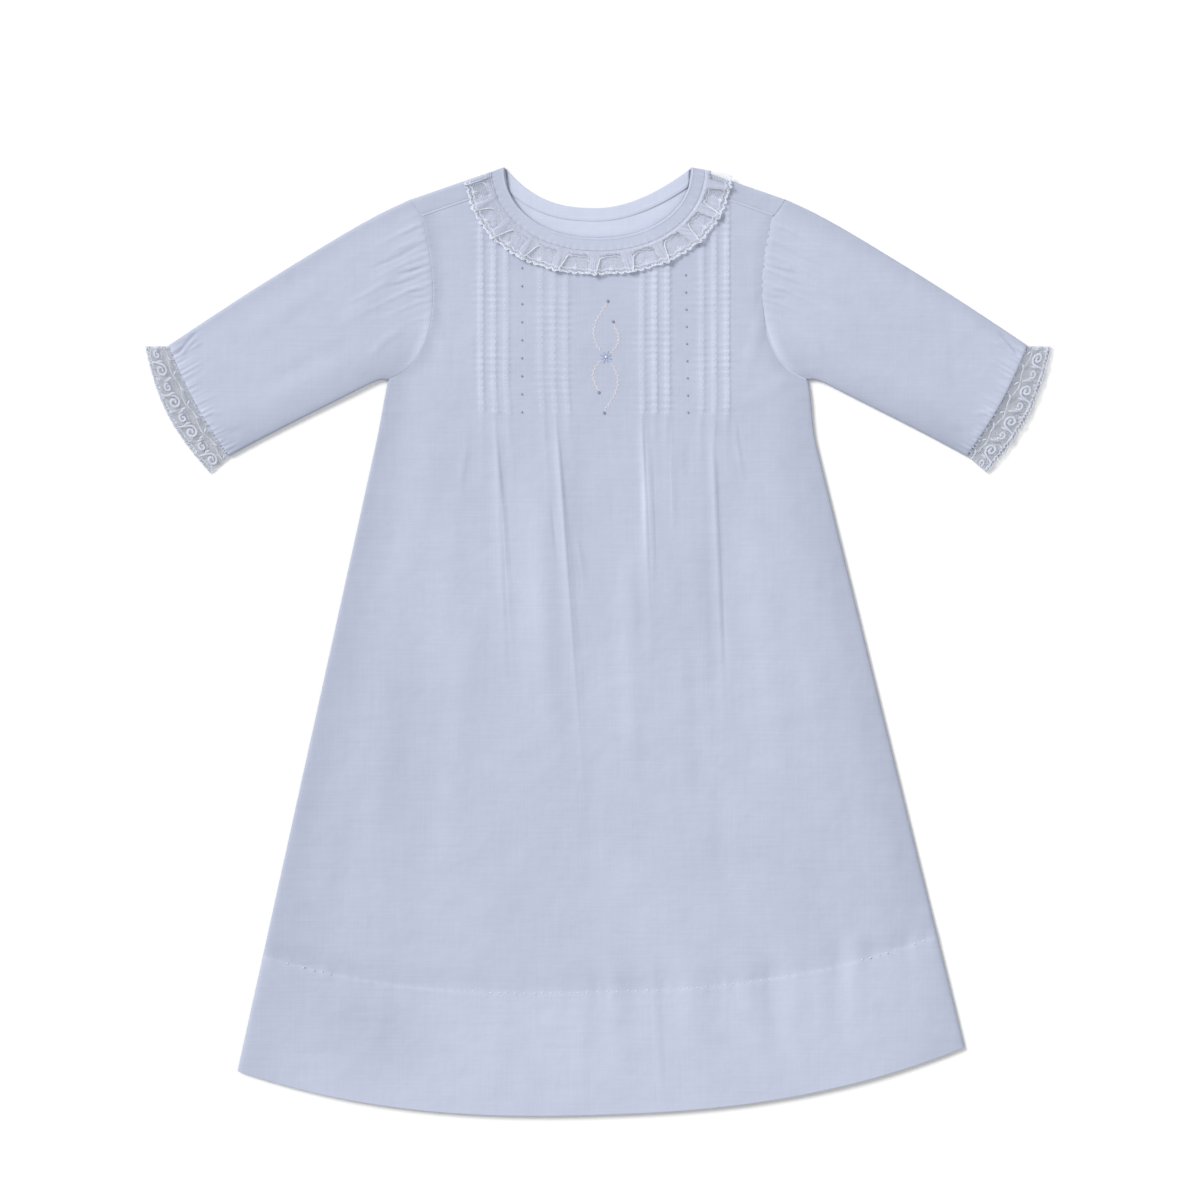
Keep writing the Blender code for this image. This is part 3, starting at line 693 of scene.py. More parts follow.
def body_plan(place, row, top, corner):
    """Plan of a body panel: row is 0 at its top edge, 1 at the underarm and 2 at the hem."""
    bodice = np.clip(row, 0.0, 1.0)
    skirt = np.clip(row - 1.0, 0.0, 1.0)
    corner_y = ARMHOLE[corner][1]
    side = np.sign(place)
    beyond = np.clip(np.abs(place) - STRAIGHT_GRAIN_HALF, 0.0, None) / (CHEST_HALF - STRAIGHT_GRAIN_HALF)
    straight = np.minimum(np.abs(place), STRAIGHT_GRAIN_HALF)

    def across(y):
        return side * (straight + beyond * (armhole_half(y) - STRAIGHT_GRAIN_HALF))

    bodice_x = across(mix(corner_y, UNDERARM_Y, bodice))
    bodice_y = mix(top(across(np.full_like(place, corner_y))), UNDERARM_Y, bodice)
    low = hem_place(place)
    hollow = by_side(place, SIDE_HOLLOW) * smooth(skirt / SIDE_HOLLOW_START) * (1.0 - skirt)
    skirt_x = mix(place, low, skirt) - hollow * place / CHEST_HALF
    skirt_y = mix(UNDERARM_Y, hem_height(low), skirt)
    return np.where(row > 1.0, skirt_x, bodice_x), np.where(row > 1.0, skirt_y, bodice_y)


def tuck_places():
    """Places of the twelve pintucks across the chest."""
    return [TUCK_MIDDLE + group + step * TUCK_PITCH for group in TUCK_GROUPS for step in (-1, 0, 1)]


def creases(rows, x, y):
    """Height of a table of creases at points of the plan."""
    height = np.zeros_like(x)
    for first_x, first_y, last_x, last_y, bow, half, tall in rows:
        run_x = last_x - first_x
        run_y = last_y - first_y
        run = math.hypot(run_x, run_y)
        along = ((x - first_x) * run_x + (y - first_y) * run_y) / run**2
        side = ((x - first_x) * run_y - (y - first_y) * run_x) / run - 4.0 * bow * along * (1.0 - along)
        height += tall * hump(side, half) * smooth(np.minimum(along, 1.0 - along) * 4.0)
    return height


def puckers(along, away, count, span, stray, seed, lengths, heights, half, scale=1.0):
    """Height of a row of small ridges, uneven in place, length and height, that run away from a seam."""
    places = np.linspace(*span, count) * scale + uneven(count, seed, -stray, stray)
    lengths = uneven(count, seed + 1, *lengths)
    heights = uneven(count, seed + 2, *heights)
    height = np.zeros_like(along)
    for place, length, tall in zip(places, lengths, heights):
        height += tall * hump(along - place, half) * (1.0 - smooth(away / length)) * smooth(away / 0.8 + 0.3)
    return height


def painted_shading(rows, x, y):
    """Change of tone from a table of soft patches of painted shade and painted highlight."""
    tone = np.zeros_like(x)
    for middle_x, middle_y, half, tall, change in rows:
        tone += change * hump(x - middle_x, half) * hump(y - middle_y, tall)
    return tone


def front_folds(place, y):
    """Height of the soft folds below the tucks, whose crests are steeper towards the wearer's left."""
    height = np.zeros_like(place)
    for crest, end, tall, half, half_end in FOLDS:
        share = (RELEASE_Y - y) / (RELEASE_Y - end)
        grown = smooth(0.25 + share * 6.0) * (1.0 - smooth(share)) * (share > -0.03)
        beside = place - crest
        base = hump(beside, mix(half, half_end, np.clip(share, 0.0, 1.0)))
        sharp = hump(np.where(beside > 0.0, beside / FOLD_STEEP_SIDE, beside), FOLD_CREST_HALF)
        if tall > FOLD_SMALL:
            height += tall * grown * (0.35 * base + 0.40 * sharp * (1.0 - smooth(share * 1.4 - 0.3)))
        else:
            height += tall * grown * (0.25 * base + 0.25 * sharp * (1.0 - smooth(share * 3.0)))
    return height


def front_tucks(place, x, y):
    """Height of the pintucks, as a share: flat folds pinched in by their stitches."""
    pitch = bpy.context.scene.daygown_sewing.tuck_stitch / MM
    height = np.zeros_like(place)
    near_end = 1.0 + 0.8 * hump(y - RELEASE_Y - 4.0, 10.0)
    for number, (tuck, full) in enumerate(zip(tuck_places(), TUCK_FULLNESS)):
        beat = np.abs(((y + number * STITCH_SHIFT) / pitch) % 1.0 - 0.5) * 2.0
        pinch = smooth((beat - 0.45) / 0.4) * near_end
        half = TUCK_HALF * (1.0 - 0.15 * pinch)
        full = full * (0.80 + 0.20 * np.sin(y * 0.21 + number * 1.9) * np.sin(y * 0.083 + number * 2.7))
        height += smooth((half - np.abs(place - tuck)) / 0.55) * (1.0 - 0.30 * pinch) * full
    return height * smooth(frill_share(x, y) * 1.5) * smooth((y - RELEASE_Y + 1.5) / 3.0)


def cross_puckers(place, x, y):
    """Height of the faint ripples that the tucks' stitches pull across each group."""
    pitch = bpy.context.scene.daygown_sewing.tuck_stitch / MM
    height = np.zeros_like(place)
    for number, group in enumerate(TUCK_GROUPS):
        inside = smooth((TUCK_PITCH + 8.5 - np.abs(place - TUCK_MIDDLE - group)) / 8.0)
        wave = np.sin(2.0 * np.pi * y / pitch + number) * (0.6 + 0.4 * np.sin(y * 0.17 + number * 2.0))
        height += wave * inside
    return height * smooth(frill_share(x, y) * 1.5) * smooth((y - RELEASE_Y + 3.0) / 6.0)


def front_edges(side_gap, row):
    """How far the front's face dips at its armholes, rolls down at its sides and thins at its hem."""
    armhole = (row < 1.0) * hump(side_gap, 1.2)
    inset = 1.0 - np.clip(side_gap / SIDE_ROLL, 0.0, 1.0)
    side = (row >= 1.0) * (1.0 - np.sqrt(np.clip(1.0 - inset**2, 0.0, 1.0)))
    hem = (row > 1.0) * hump((2.0 - row) * SKIRT_LENGTH, 14.0)
    return 0.15 * armhole + 1.5 * side + 0.12 * hem


def hem_streaks(x, above_hem):
    """Change of tone about the hem: uneven upright streaks, and a band of painted shade just above the
    stitches, in the hollow over their puckers.
    """
    streak = np.sin(x * 0.21 + 2.0 * np.sin(x * 0.047)) * np.sin(x * 0.071 + 1.0)
    fade = np.where(above_hem < 0.0, smooth(1.0 + above_hem / 60.0), smooth(1.0 - above_hem / 26.0))
    return 0.16 * streak * fade * smooth((x + 60.0) / 90.0) - 0.06 * hump(above_hem - 7.0, 8.5)


def front_height(place, x, y, row):
    """Height of the front's face, and its tone: 0 is deep and 1 is pale. The tone holds painted light and
    shade as well as paler doubled cloth.
    """
    sewing = bpy.context.scene.daygown_sewing
    side_gap = CHEST_HALF - np.abs(place)
    above_hem = (1.0 + HEM_START - row) * (UNDERARM_Y - hem_height(x))
    lift = BODY_LIFT * smooth(side_gap / BODY_LIFT_MARGIN) * smooth((BODY_LIFT_TOP - y) / BODY_LIFT_RUN)
    folds = front_folds(place, y)
    tucks = front_tucks(place, x, y)
    crossed = cross_puckers(place, x, y)
    turned = smooth(0.5 - above_hem / 1.8)
    pull = 0.35 + 0.65 * smooth((np.abs(x + 5.0) - 55.0) / 40.0)
    ripple = np.sin(x * 0.78 + 1.7 * np.sin(x * 0.19)) + 0.6 * np.sin(x * 0.53 + 2.0 * np.sin(x * 0.11))
    ripple = ripple * pull * np.exp(-((above_hem / 5.5) ** 2))
    gathered = (row < 1.0) * puckers(y, side_gap, **ARMHOLE_PUCKERS)
    height = FRONT_TOP + lift + folds + tucks * sewing.tuck_height / MM + 0.13 * crossed + 0.14 * turned
    height = height + 0.20 * ripple + gathered + creases(FRONT_CREASES, x, y) - front_edges(side_gap, row)

    # Painted highlight: pale blobs on the small puckers just below each hem stitch.
    stitches = hump(above_hem + 0.9, 2.0) * (0.55 + 0.45 * np.cos(2.0 * np.pi * x * MM / sewing.hem_stitch))
    # Painted highlights on the crests of the folds and of the tucks' cross ripples; the tucks and the
    # turned-up hem are paler for their extra layers.
    tone = 0.44 + 0.30 * tucks + 0.08 * crossed + 0.10 * folds + 0.09 * turned + 0.16 * stitches * pull
    # Painted light lifts the cloth under the neck lace against the lace's shadow, and painted shade darkens
    # the last 20 mm at the sides.
    tone = tone + 0.50 * smooth((1.0 - frill_share(x, y)) * 6.0) - 0.24 * (1.0 - smooth(side_gap / 20.0))
    return height, tone + painted_shading(FRONT_PAINTED_SHADING, x, y) + (row > 1.0) * hem_streaks(x, above_hem)


def on_front(x, y):
    """Height of the front's face at points of the plan, for what is sewn on it."""
    x = np.asarray(x, float)
    y = np.asarray(y, float)
    top = front_top(x)
    row = np.where(y < UNDERARM_Y, 2.0, (top - y) / (top - UNDERARM_Y))
    place = x.copy()
    for _ in range(6):
        low = hem_height(hem_place(place))
        row = np.where(y < UNDERARM_Y, 1.0 + (UNDERARM_Y - y) / (UNDERARM_Y - low), row)
        place = place + (x - body_plan(place, row, front_top, 1)[0])
    return front_height(place, x, y, row)[0]


def ring_section(share, width, radius):
    """For a share of the way round a flattened ring, the share across it and the level, from 0 below to 1.

    It runs along the upper layer, round the far edge, back along the lower layer and round the near edge.
    """
    inset = radius / width
    straight = width - 2.0 * radius
    arc = np.pi * radius
    way = (share % 1.0) * 2.0 * (straight + arc)
    upper = way < straight
    far = (way >= straight) & (way < straight + arc)
    lower = (way >= straight + arc) & (way < 2.0 * straight + arc)
    far_turn = (way - straight) / arc * np.pi
    near_turn = (way - 2.0 * straight - arc) / arc * np.pi
    across = np.select(
        [upper, far, lower],
        [
            inset + way / width,
            1.0 - inset + inset * np.sin(far_turn),
            1.0 - inset - (way - straight - arc) / width,
        ],
        inset - inset * np.sin(near_turn),
    )
    far_level = 0.5 + 0.5 * np.cos(far_turn)
    near_level = 0.5 - 0.5 * np.cos(near_turn)
    return across, np.select([upper, far, lower], [1.0, far_level, 0.0], near_level)


def bulged(start, end, bulge, share):
    """Points of the line from start to end, which bows outwards, away from the body."""
    start = np.array(start)
    end = np.array(end)
    outward = np.array([start[1] - end[1], end[0] - start[0]]) / np.linalg.norm(end - start)
    return mix(start, end, share[..., None]) + outward * (bulge * np.sin(np.pi * share))[..., None]


class SleevePlan:
    """The plan of the left sleeve: a share across from its shoulder edge, a share along from the armhole."""

    def __init__(self):
        self.armhole = Line([(half + SEAM, y) for half, y in ARMHOLE], 2)
        self.top = Line([self.armhole.points[0], *SLEEVE_TOP[1:]], 3)
        self.under = Line([self.armhole.points[-1], *SLEEVE_UNDER[1:]], 3)
        self.length = 0.5 * (self.top.length + self.under.length)

    def width(self, down):
        """Distance between the two edges."""
        return np.linalg.norm(self.top.at(down) - self.under.at(down), axis=-1)

    def end(self, across):
        """Points of the sleeve's end."""
        return bulged(SLEEVE_TOP[-1], SLEEVE_UNDER[-1], SLEEVE_END_BULGE, across)

    def at(self, across, down):
        """Points of the plan."""
        a = across[..., None]
        d = down[..., None]
        zero = np.zeros_like(across)
        sides = mix(self.top.at(down), self.under.at(down), a)
        ends = mix(self.armhole.at(across), self.end(across), d)
        near = mix(self.armhole.at(zero), self.armhole.at(zero + 1.0), a)
        far = mix(self.end(zero), self.end(zero + 1.0), a)
        return sides + ends - mix(near, far, d)


SLEEVE = SleevePlan()


def sleeve_height(across, level, down, points):
    """Height and tone of a sleeve; the tone holds painted light and shade."""
    away = down * SLEEVE.length
    from_end = (1.0 - down) * SLEEVE.length
    head = SLEEVE.armhole.length
    seam = across * head
    lift = SLEEVE_LIFT * np.sin(np.pi * across) ** SLEEVE_LIFT_ROUNDNESS
    lift = lift * smooth(down / SLEEVE_LIFT_START) * (1.0 - SLEEVE_LIFT_FADE * smooth(down))
    gathers = puckers(seam, away, scale=head, **HEAD_PUCKERS)
    for place, half, length, tall in HEAD_GATHERS:
        run = smooth(away / length)
        ridge = hump(seam - place * head - 0.05 * away, half * mix(1.0, 1.8, run))
        gathers += 0.70 * tall * ridge * (1.0 - run)
    gathers *= smooth(away / 1.8 + 0.2)
    ruffled = puckers(across * SLEEVE_END_WIDTH, from_end, **END_PUCKERS)
    relief = lift + gathers + ruffled + creases(SLEEVE_CREASES, points[..., 0], points[..., 1])
    relief = relief - 0.15 * hump(away, 1.2) - 0.3 * hump(from_end, 1.2)
    height = level * (FRONT_TOP + relief * smooth(level * 2.0 - 1.0))
    # Painted shade along both rounded edges, a patch of painted highlight by the armhole near the underarm,
    # and painted highlights on the gathers and on the puckers at the end. The tone also falls towards the
    # underarm edge.
    at_edge = 1.0 - smooth(np.minimum(across, 1.0 - across) * 8.0)
    tone = 0.47 - 0.16 * at_edge - 0.30 * smooth((across - 0.60) / 0.40)
    tone = tone + 0.42 * hump(away, 7.0) * hump(across - 0.74, 0.24) + 0.18 * gathers + 0.45 * ruffled
    return height, np.where(level > 0.5, tone, 0.35)


def cuff_point(across, down):
    """Plan of the frill at the sleeve's end, on the wearer's left."""
    near = SLEEVE.end(across) + np.array([SEAM, -CUFF_DROP])
    far = bulged(CUFF_TOP_CORNER, CUFF_UNDER_CORNER, CUFF_BULGE, across)
    return mix(near, far, down[..., None])


def wave_ridges(share, waves, phase, slant, stray, seed):
    """Uneven ridges of a gathered frill, from 0 to 1: a soft swell with a sharp pleat on it.

    Both lean along the frill by slant, a share of a wave.
    """
    height = np.zeros_like(share)
    strays = uneven(waves, seed, -stray, stray)
    talls = uneven(waves, seed + 1, 0.75, 1.0)
    for number, (drift, tall) in enumerate(zip(strays, talls)):
        beside = share * waves - number - phase - drift + slant
        height = np.maximum(height, tall * (0.45 * hump(beside, 0.42) + 0.55 * hump(beside, 0.15)))
    return height


def grid_quads(rows, columns, ring=False):
    """Four-sided faces between neighbouring rows of a grid. A ring joins its last column to its first."""
    r, c = np.meshgrid(np.arange(rows - 1), np.arange(columns if ring else columns - 1), indexing="ij")
    here = (r * columns + c).ravel()
    beside = (r * columns + (c + 1) % columns).ravel()
    return np.stack([here, here + columns, beside + columns, beside], axis=-1)


def make_mesh(name, points, faces, materials, kinds=None, tone=None):
    """Makes a smooth mesh object from points in millimetres."""
    mesh = bpy.data.meshes.new(name)
    mesh.from_pydata((np.asarray(points) * MM).tolist(), [], faces)
    mesh.validate()
    for material in materials:
        mesh.materials.append(material)
    if kinds is not None:
        mesh.polygons.foreach_set("material_index", np.asarray(kinds, np.int32))
    if tone is not None:
        mesh.attributes.new("tone", "FLOAT", "POINT").data.foreach_set("value", np.asarray(tone, np.float32))
    mesh.shade_smooth()
    return placed(name, mesh)


def placed(name, data):
    """Puts a mesh, a light or a camera in the scene."""
    thing = bpy.data.objects.new(name, data)
    bpy.context.scene.collection.objects.link(thing)
    return thing


def make_cloth(name, grids, tones, ring=False, flip=False, thickness=None):
    """A thin shell of batiste from one grid of points or more, joined where their points meet."""
    count = 0
    faces = []
    for grid in grids:
        quads = grid_quads(*grid.shape[:2], ring) + count
        faces += (quads[:, ::-1] if flip else quads).tolist()
        count += grid.shape[0] * grid.shape[1]
    points = np.concatenate([grid.reshape(-1, 3) for grid in grids])
    tone = np.concatenate([part.ravel() for part in tones])
    cloth = make_mesh(name, points, faces, [cloth_material()], tone=tone)
    if len(grids) > 1:
        weld = cloth.modifiers.new("joined", "WELD")
        weld.merge_threshold = 0.01 * MM
    shell = cloth.modifiers.new("thickness", "SOLIDIFY")
    shell.thickness = thickness or bpy.context.scene.daygown_cloth.thickness
    shell.offset = -1.0
    return cloth


def dress(piece, slot, *nodes):
    """Says what the piece rides on and stands for. Its slot, for the finish that it would take, is not used.
    """
    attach(piece, BODY)
    if nodes:
        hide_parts(*nodes)


class Wire:
    """A shader socket that takes part in sums. Each operation on values adds a Math node."""

    def __init__(self, bench, socket):
        self.bench = bench
        self.socket = socket

    def _math(self, operation, *values):
        return self.bench.node("ShaderNodeMath", {"operation": operation}, dict(enumerate(values)))

    def __add__(self, other):
        return self._math("ADD", self, other)

    __radd__ = __add__

    def __sub__(self, other):
        return self._math("SUBTRACT", self, other)

    def __rsub__(self, other):
        return self._math("SUBTRACT", other, self)

    def __mul__(self, other):
        return self._math("MULTIPLY", self, other)

    __rmul__ = __mul__

    def sine(self):
        return self._math("SINE", self)

    def beside(self, output):
        """Another output of the same node."""
        return Wire(self.bench, self.socket.node.outputs[output])


class Bench:
    """The node tree of one material."""

    def __init__(self, name):
        self.material = bpy.data.materials.new(name)
        self.material.use_nodes = True
        self.tree = self.material.node_tree
        self.shader = self.tree.nodes["Principled BSDF"]

    def node(self, kind, settings, sockets, output=0):
        """Adds a node: its settings first, then the value or link of each socket. Returns one output."""
        node = self.tree.nodes.new(kind)
        for key, value in settings.items():
            setattr(node, key, value)
        for key, value in sockets.items():
            self.connect(node.inputs[key], value)
        return Wire(self, node.outputs[output])

    def connect(self, socket, value):
        """Links a wire to a socket, or sets the socket's value."""
        if isinstance(value, Wire):
            self.tree.links.new(value.socket, socket)
        else:
            socket.default_value = value

    def finish(self, **values):
        """Feeds the shader's own sockets, and returns the material. An underscore stands for a space."""
        for key, value in values.items():
            self.connect(self.shader.inputs[key.replace("_", " ")], value)
        return self.material

    def place(self):
        """The place in the object's own frame, in metres."""
        return self.node("ShaderNodeTexCoord", {}, {}, "Object")

    def scaled(self, vector, scale):
        """A vector times a scale for each axis."""
        return self.node("ShaderNodeVectorMath", {"operation": "MULTIPLY"}, {0: vector, 1: scale})

    def split(self, vector):
        """The X and the Y of a vector."""
        x = self.node("ShaderNodeSeparateXYZ", {}, {0: vector}, "X")
        return x, x.beside("Y")

    def noise(self, vector, scale, detail=2.0):
        """A soft noise, about 0.5."""
        return self.node("ShaderNodeTexNoise", {}, {"Vector": vector, "Scale": scale, "Detail": detail})

    def blend(self, factor, low, high):
        """A colour between two others."""
        sockets = {0: factor, 6: (*low, 1.0), 7: (*high, 1.0)}
        return self.node("ShaderNodeMix", {"data_type": "RGBA"}, sockets, 2)

    def bump(self, height, distance, strength, **below):
        """A normal that follows a height of 0 to 1, as deep as distance, over another one if given."""
        sockets = {"Strength": strength, "Distance": distance, "Height": height, **below}
        return self.node("ShaderNodeBump", {}, sockets)


def batiste(name):
    """Fine plain-weave cotton: slubs along both threads, a faint weave, and a tone from the cloth's form,
    which paints its light and shade and its paler double layers.
    """
    cloth = bpy.context.scene.daygown_cloth
    bench = Bench(name)
    place = bench.place()
    weft = bench.noise(bench.scaled(place, (28.0, 950.0, 20.0)), 1.0, 3.0)
    warp = bench.noise(bench.scaled(place, (950.0, 22.0, 20.0)), 1.0, 3.0)
    cloud = bench.noise(place, 14.0, 3.0)
    crumple = bench.noise(place, 55.0, 3.0)
    mottle = bench.noise(place, 120.0)
    x, y = bench.split(place)
    turns = math.pi / cloth.weave
    over = (x * turns).sine() * (y * turns).sine()
    tone = bench.node("ShaderNodeAttribute", {"attribute_name": "tone"}, {}, "Fac")
    tone = tone + (weft - 0.5) * 0.22 + (warp - 0.5) * 0.16 + (cloud - 0.5) * 0.24 + (mottle - 0.5) * 0.14
    weave = over * 0.25 + weft * 0.5 + warp * 0.4
    return bench.finish(
        Base_Color=bench.blend(tone, cloth.deep, cloth.pale),
        Roughness=0.78 + 0.12 * mottle,
        Normal=bench.bump(weave, 0.00012, 0.55, Normal=bench.bump(crumple, 0.0011, 0.8)),
        Sheen_Weight=0.12,
        Sheen_Roughness=0.5,
        Specular_IOR_Level=0.22,
    )


def thread(name, colour):
    """Cotton thread: two plies twisted together, a little uneven in tone."""
    bench = Bench(name)
    place = bench.place()
    slub = bench.noise(place, 900.0)
    x, y = bench.split(place)
    ply = ((x + y) * (2.0 * math.pi / THREAD_TWIST)).sine()
    pale = tuple(min(1.0, value * 1.14) for value in colour)
    deep = tuple(value * 0.84 for value in colour)
    return bench.finish(
        Base_Color=bench.blend(slub, deep, pale),
        Roughness=0.70 + 0.15 * slub,
        Normal=bench.bump(ply * 0.5 + 0.5, 0.00008, 0.5),
        Sheen_Weight=0.15,
        Specular_IOR_Level=0.3,
    )


def cloth_material():
    """The batiste, made once."""
    return bpy.data.materials.get("sewn_batiste") or batiste("sewn_batiste")


def thread_material(name, colour):
    """A thread of some colour, made once."""
    return bpy.data.materials.get(name) or thread(name, tuple(colour))


class Threads:
    """Thread meshes laid out flat as (along, across, up) in millimetres."""

    def __init__(self):
        self.points = []
        self.faces = []
        self.kinds = []
        self.count = 0

    def add(self, points, faces, kind):
        """Adds points of shape (n, 3), and arrays of faces that number them."""
        self.points.append(points)
        for part in faces:
            self.faces += (part + self.count).tolist()
            self.kinds += [kind] * len(part)
        self.count += len(points)

    def cord(self, path, radius, kind=CORD, sides=5, height=0.85):
        """A round cord along a path of (along, across) or (along, across, up)."""
        path = np.asarray(path, float)
        if path.shape[1] == 2:
            path = raised(path, 0.0)
        side = left_of(np.gradient(path, axis=0))
        radius = np.broadcast_to(radius, len(path))
        rings = np.zeros((len(path), sides, 3))
        for k in range(sides):
            angle = 2.0 * math.pi * k / sides
            rings[:, k, :2] = path[:, :2] + side * (radius * math.cos(angle))[:, None]
            rings[:, k, 2] = path[:, 2] + radius * height * math.sin(angle)
        first = np.arange(sides)[None, :]
        last = (len(path) - 1) * sides + np.arange(sides)[None, ::-1]
        self.add(rings.reshape(-1, 3), [grid_quads(len(path), sides, ring=True), first, last], kind)

    def strands(self, starts, ends, radius, kind=NET):
        """Many straight three-sided strands at once."""
        side = left_of(ends - starts)
        rings = []
        for middle in (starts, ends):
            for across, up in ((1.0, -0.5), (0.0, 0.9), (-1.0, -0.5)):
                rings.append(raised(middle + side * radius * across, radius * up))
        base = 6 * np.arange(len(starts))[:, None]
        quads = np.concatenate([base + np.array(quad) for quad in ((0, 3, 4, 1), (1, 4, 5, 2), (2, 5, 3, 0))])
        caps = np.concatenate([base + np.array(cap) for cap in ((0, 1, 2), (5, 4, 3))])
        self.add(np.stack(rings, axis=1).reshape(-1, 3), [quads, caps], kind)

    def leaf(self, root, tip, width, kind=CORD):
        """A worked leaf: a fat short cord that comes to a point at both ends."""
        share = np.linspace(0.0, 1.0, 7)
        path = mix(np.array(root), np.array(tip), share[:, None])
        self.cord(path, width * np.sin(np.pi * (0.06 + 0.88 * share)), kind, height=0.45)


class LaceStrip(Threads):
    """A strip of edging lace, from its heading at 0 across to its scalloped edge."""

    def __init__(self, length, depth, scallops, scallop):
        super().__init__()
        self.length = length
        self.depth = depth
        self.pitch = length / scallops
        self.scallop = scallop

    def edge(self, along, inset=0.0):
        """How far across the strip its edge lies, or a line inside the edge."""
        return self.depth - inset - self.scallop * (1.0 - np.abs(np.sin(np.pi * along / self.pitch)))

    def net(self, radius, inset, start):
        """A hexagonal net, from start at each place along the strip to a line inside the edge."""
        columns = round(self.length / NET_PITCH)
        pitch = self.length / columns
        rows = math.ceil((self.depth - inset) / (pitch * math.sqrt(3.0) / 2.0)) + 1
        i, j = (part.ravel() for part in np.meshgrid(np.arange(columns), np.arange(rows), indexing="ij"))
        centre = np.stack([(i + 0.5 * (j % 2)) * pitch, j * pitch * math.sqrt(3.0) / 2.0], axis=1)
        arm = pitch / math.sqrt(3.0)
        corners = []
        for angle in (-30.0, 30.0, 90.0, 150.0):
            turn = math.radians(angle)
            corners.append(centre + arm * np.array([math.cos(turn), math.sin(turn)]))
        starts = np.concatenate(corners[:-1])
        ends = np.concatenate(corners[1:])
        for points in (starts, ends):
            points[:, 1] = np.minimum(points[:, 1], self.edge(points[:, 0], inset))
        kept = np.linalg.norm(ends - starts, axis=1) > 0.25 * arm
        for points in (starts, ends):
            kept &= (points[:, 1] > start(points[:, 0])) & (points[:, 0] <= self.length)
        self.strands(starts[kept], ends[kept], radius)

    def ground(self, repeats, pattern, net_radius, net_inset, net_start):
        """The net, a pattern in repeats, a corded heading, and cords along the scalloped edge."""
        self.net(net_radius, net_inset, net_start)
        repeat = self.length / repeats
        for number in range(repeats):
            pattern(self, number * self.length / repeats, repeat)
        along = np.linspace(0.0, self.length, repeats * 36 + 1)
        for across, radius in HEADING_CORDS:
            self.cord(np.stack([along, np.full_like(along, across)], axis=1), radius, CLOSE)
        for inset, radius in EDGE_CORDS:
            self.cord(np.stack([along, self.edge(along, inset)], axis=1), radius)

    def picots(self):
        """Small loops along the scalloped edge."""
        count = round(1.4 * self.length / self.pitch)
        turn = np.linspace(-0.15, 1.15, 7) * np.pi
        for number in range(count):
            middle = (number + 0.5) * self.length / count
            reach = self.edge(middle, EDGE_CORD_INSET)
            loop = np.stack([middle - 1.05 * np.cos(turn), reach + 0.90 * np.sin(turn) - 0.1], axis=1)
            self.cord(loop, 0.29, sides=4)

    def eyelets(self):
        """Bars between the two cords of the edge, with open holes between them."""
        count = round(1.8 * self.length / self.pitch)
        middles = (np.arange(count) + 0.5) * self.length / count + uneven(count, 71, -0.25, 0.25)
        inner = np.stack([middles - 0.2, self.edge(middles, EYELET_DEPTH)], axis=1)
        outer = np.stack([middles + 0.2, self.edge(middles, EDGE_CORD_INSET)], axis=1)
        self.strands(inner, outer, 0.36, CLOSE)

    def close_work(self, start, stop, step, radius, seed):
        """Close stitches side by side, each from start across to stop at its place along the strip."""
        along = np.arange(0.5 * step, self.length, step)
        lean = uneven(len(along), seed, -0.20, 0.20)
        for place, tilt, end in zip(along, lean, stop(along)):
            marks = np.linspace(start, end, max(3, math.ceil((end - start) / 1.3)))
            path = np.stack([place + tilt * (marks - start) / (end - start), marks], axis=1)
            self.cord(path, radius, CLOSE, sides=4, height=0.8)

    def gathered(self, name, surface):
        """The strip bent on to its frill's surface, which gives points for shares along and across."""
        flat = np.concatenate(self.points)
        u = flat[:, 0] / self.length
        v = flat[:, 1] / self.depth
        step = 1e-3
        ahead = surface(u + step, v) - surface(u - step, v)
        out = surface(u, v + step) - surface(u, v - step)
        normal = np.cross(out, ahead)
        normal /= np.maximum(1e-12, np.linalg.norm(normal, axis=1, keepdims=True))
        cloth = bpy.context.scene.daygown_cloth
        materials = [thread_material("lace_" + kind, getattr(cloth, kind)) for kind in LACE_KINDS]
        return make_mesh(name, surface(u, v) + normal * flat[:, 2:], self.faces, materials, self.kinds)


def spiral(centre, inner, outer, turns, start, points):
    """Points of a scroll that opens from its eye outwards."""
    share = np.linspace(0.0, 1.0, points)
    angle = math.radians(start) + 2.0 * math.pi * turns * share
    reach = mix(inner, outer, share**1.2)
    return np.stack([centre[0] + reach * np.cos(angle), centre[1] + reach * np.sin(angle)], axis=1)


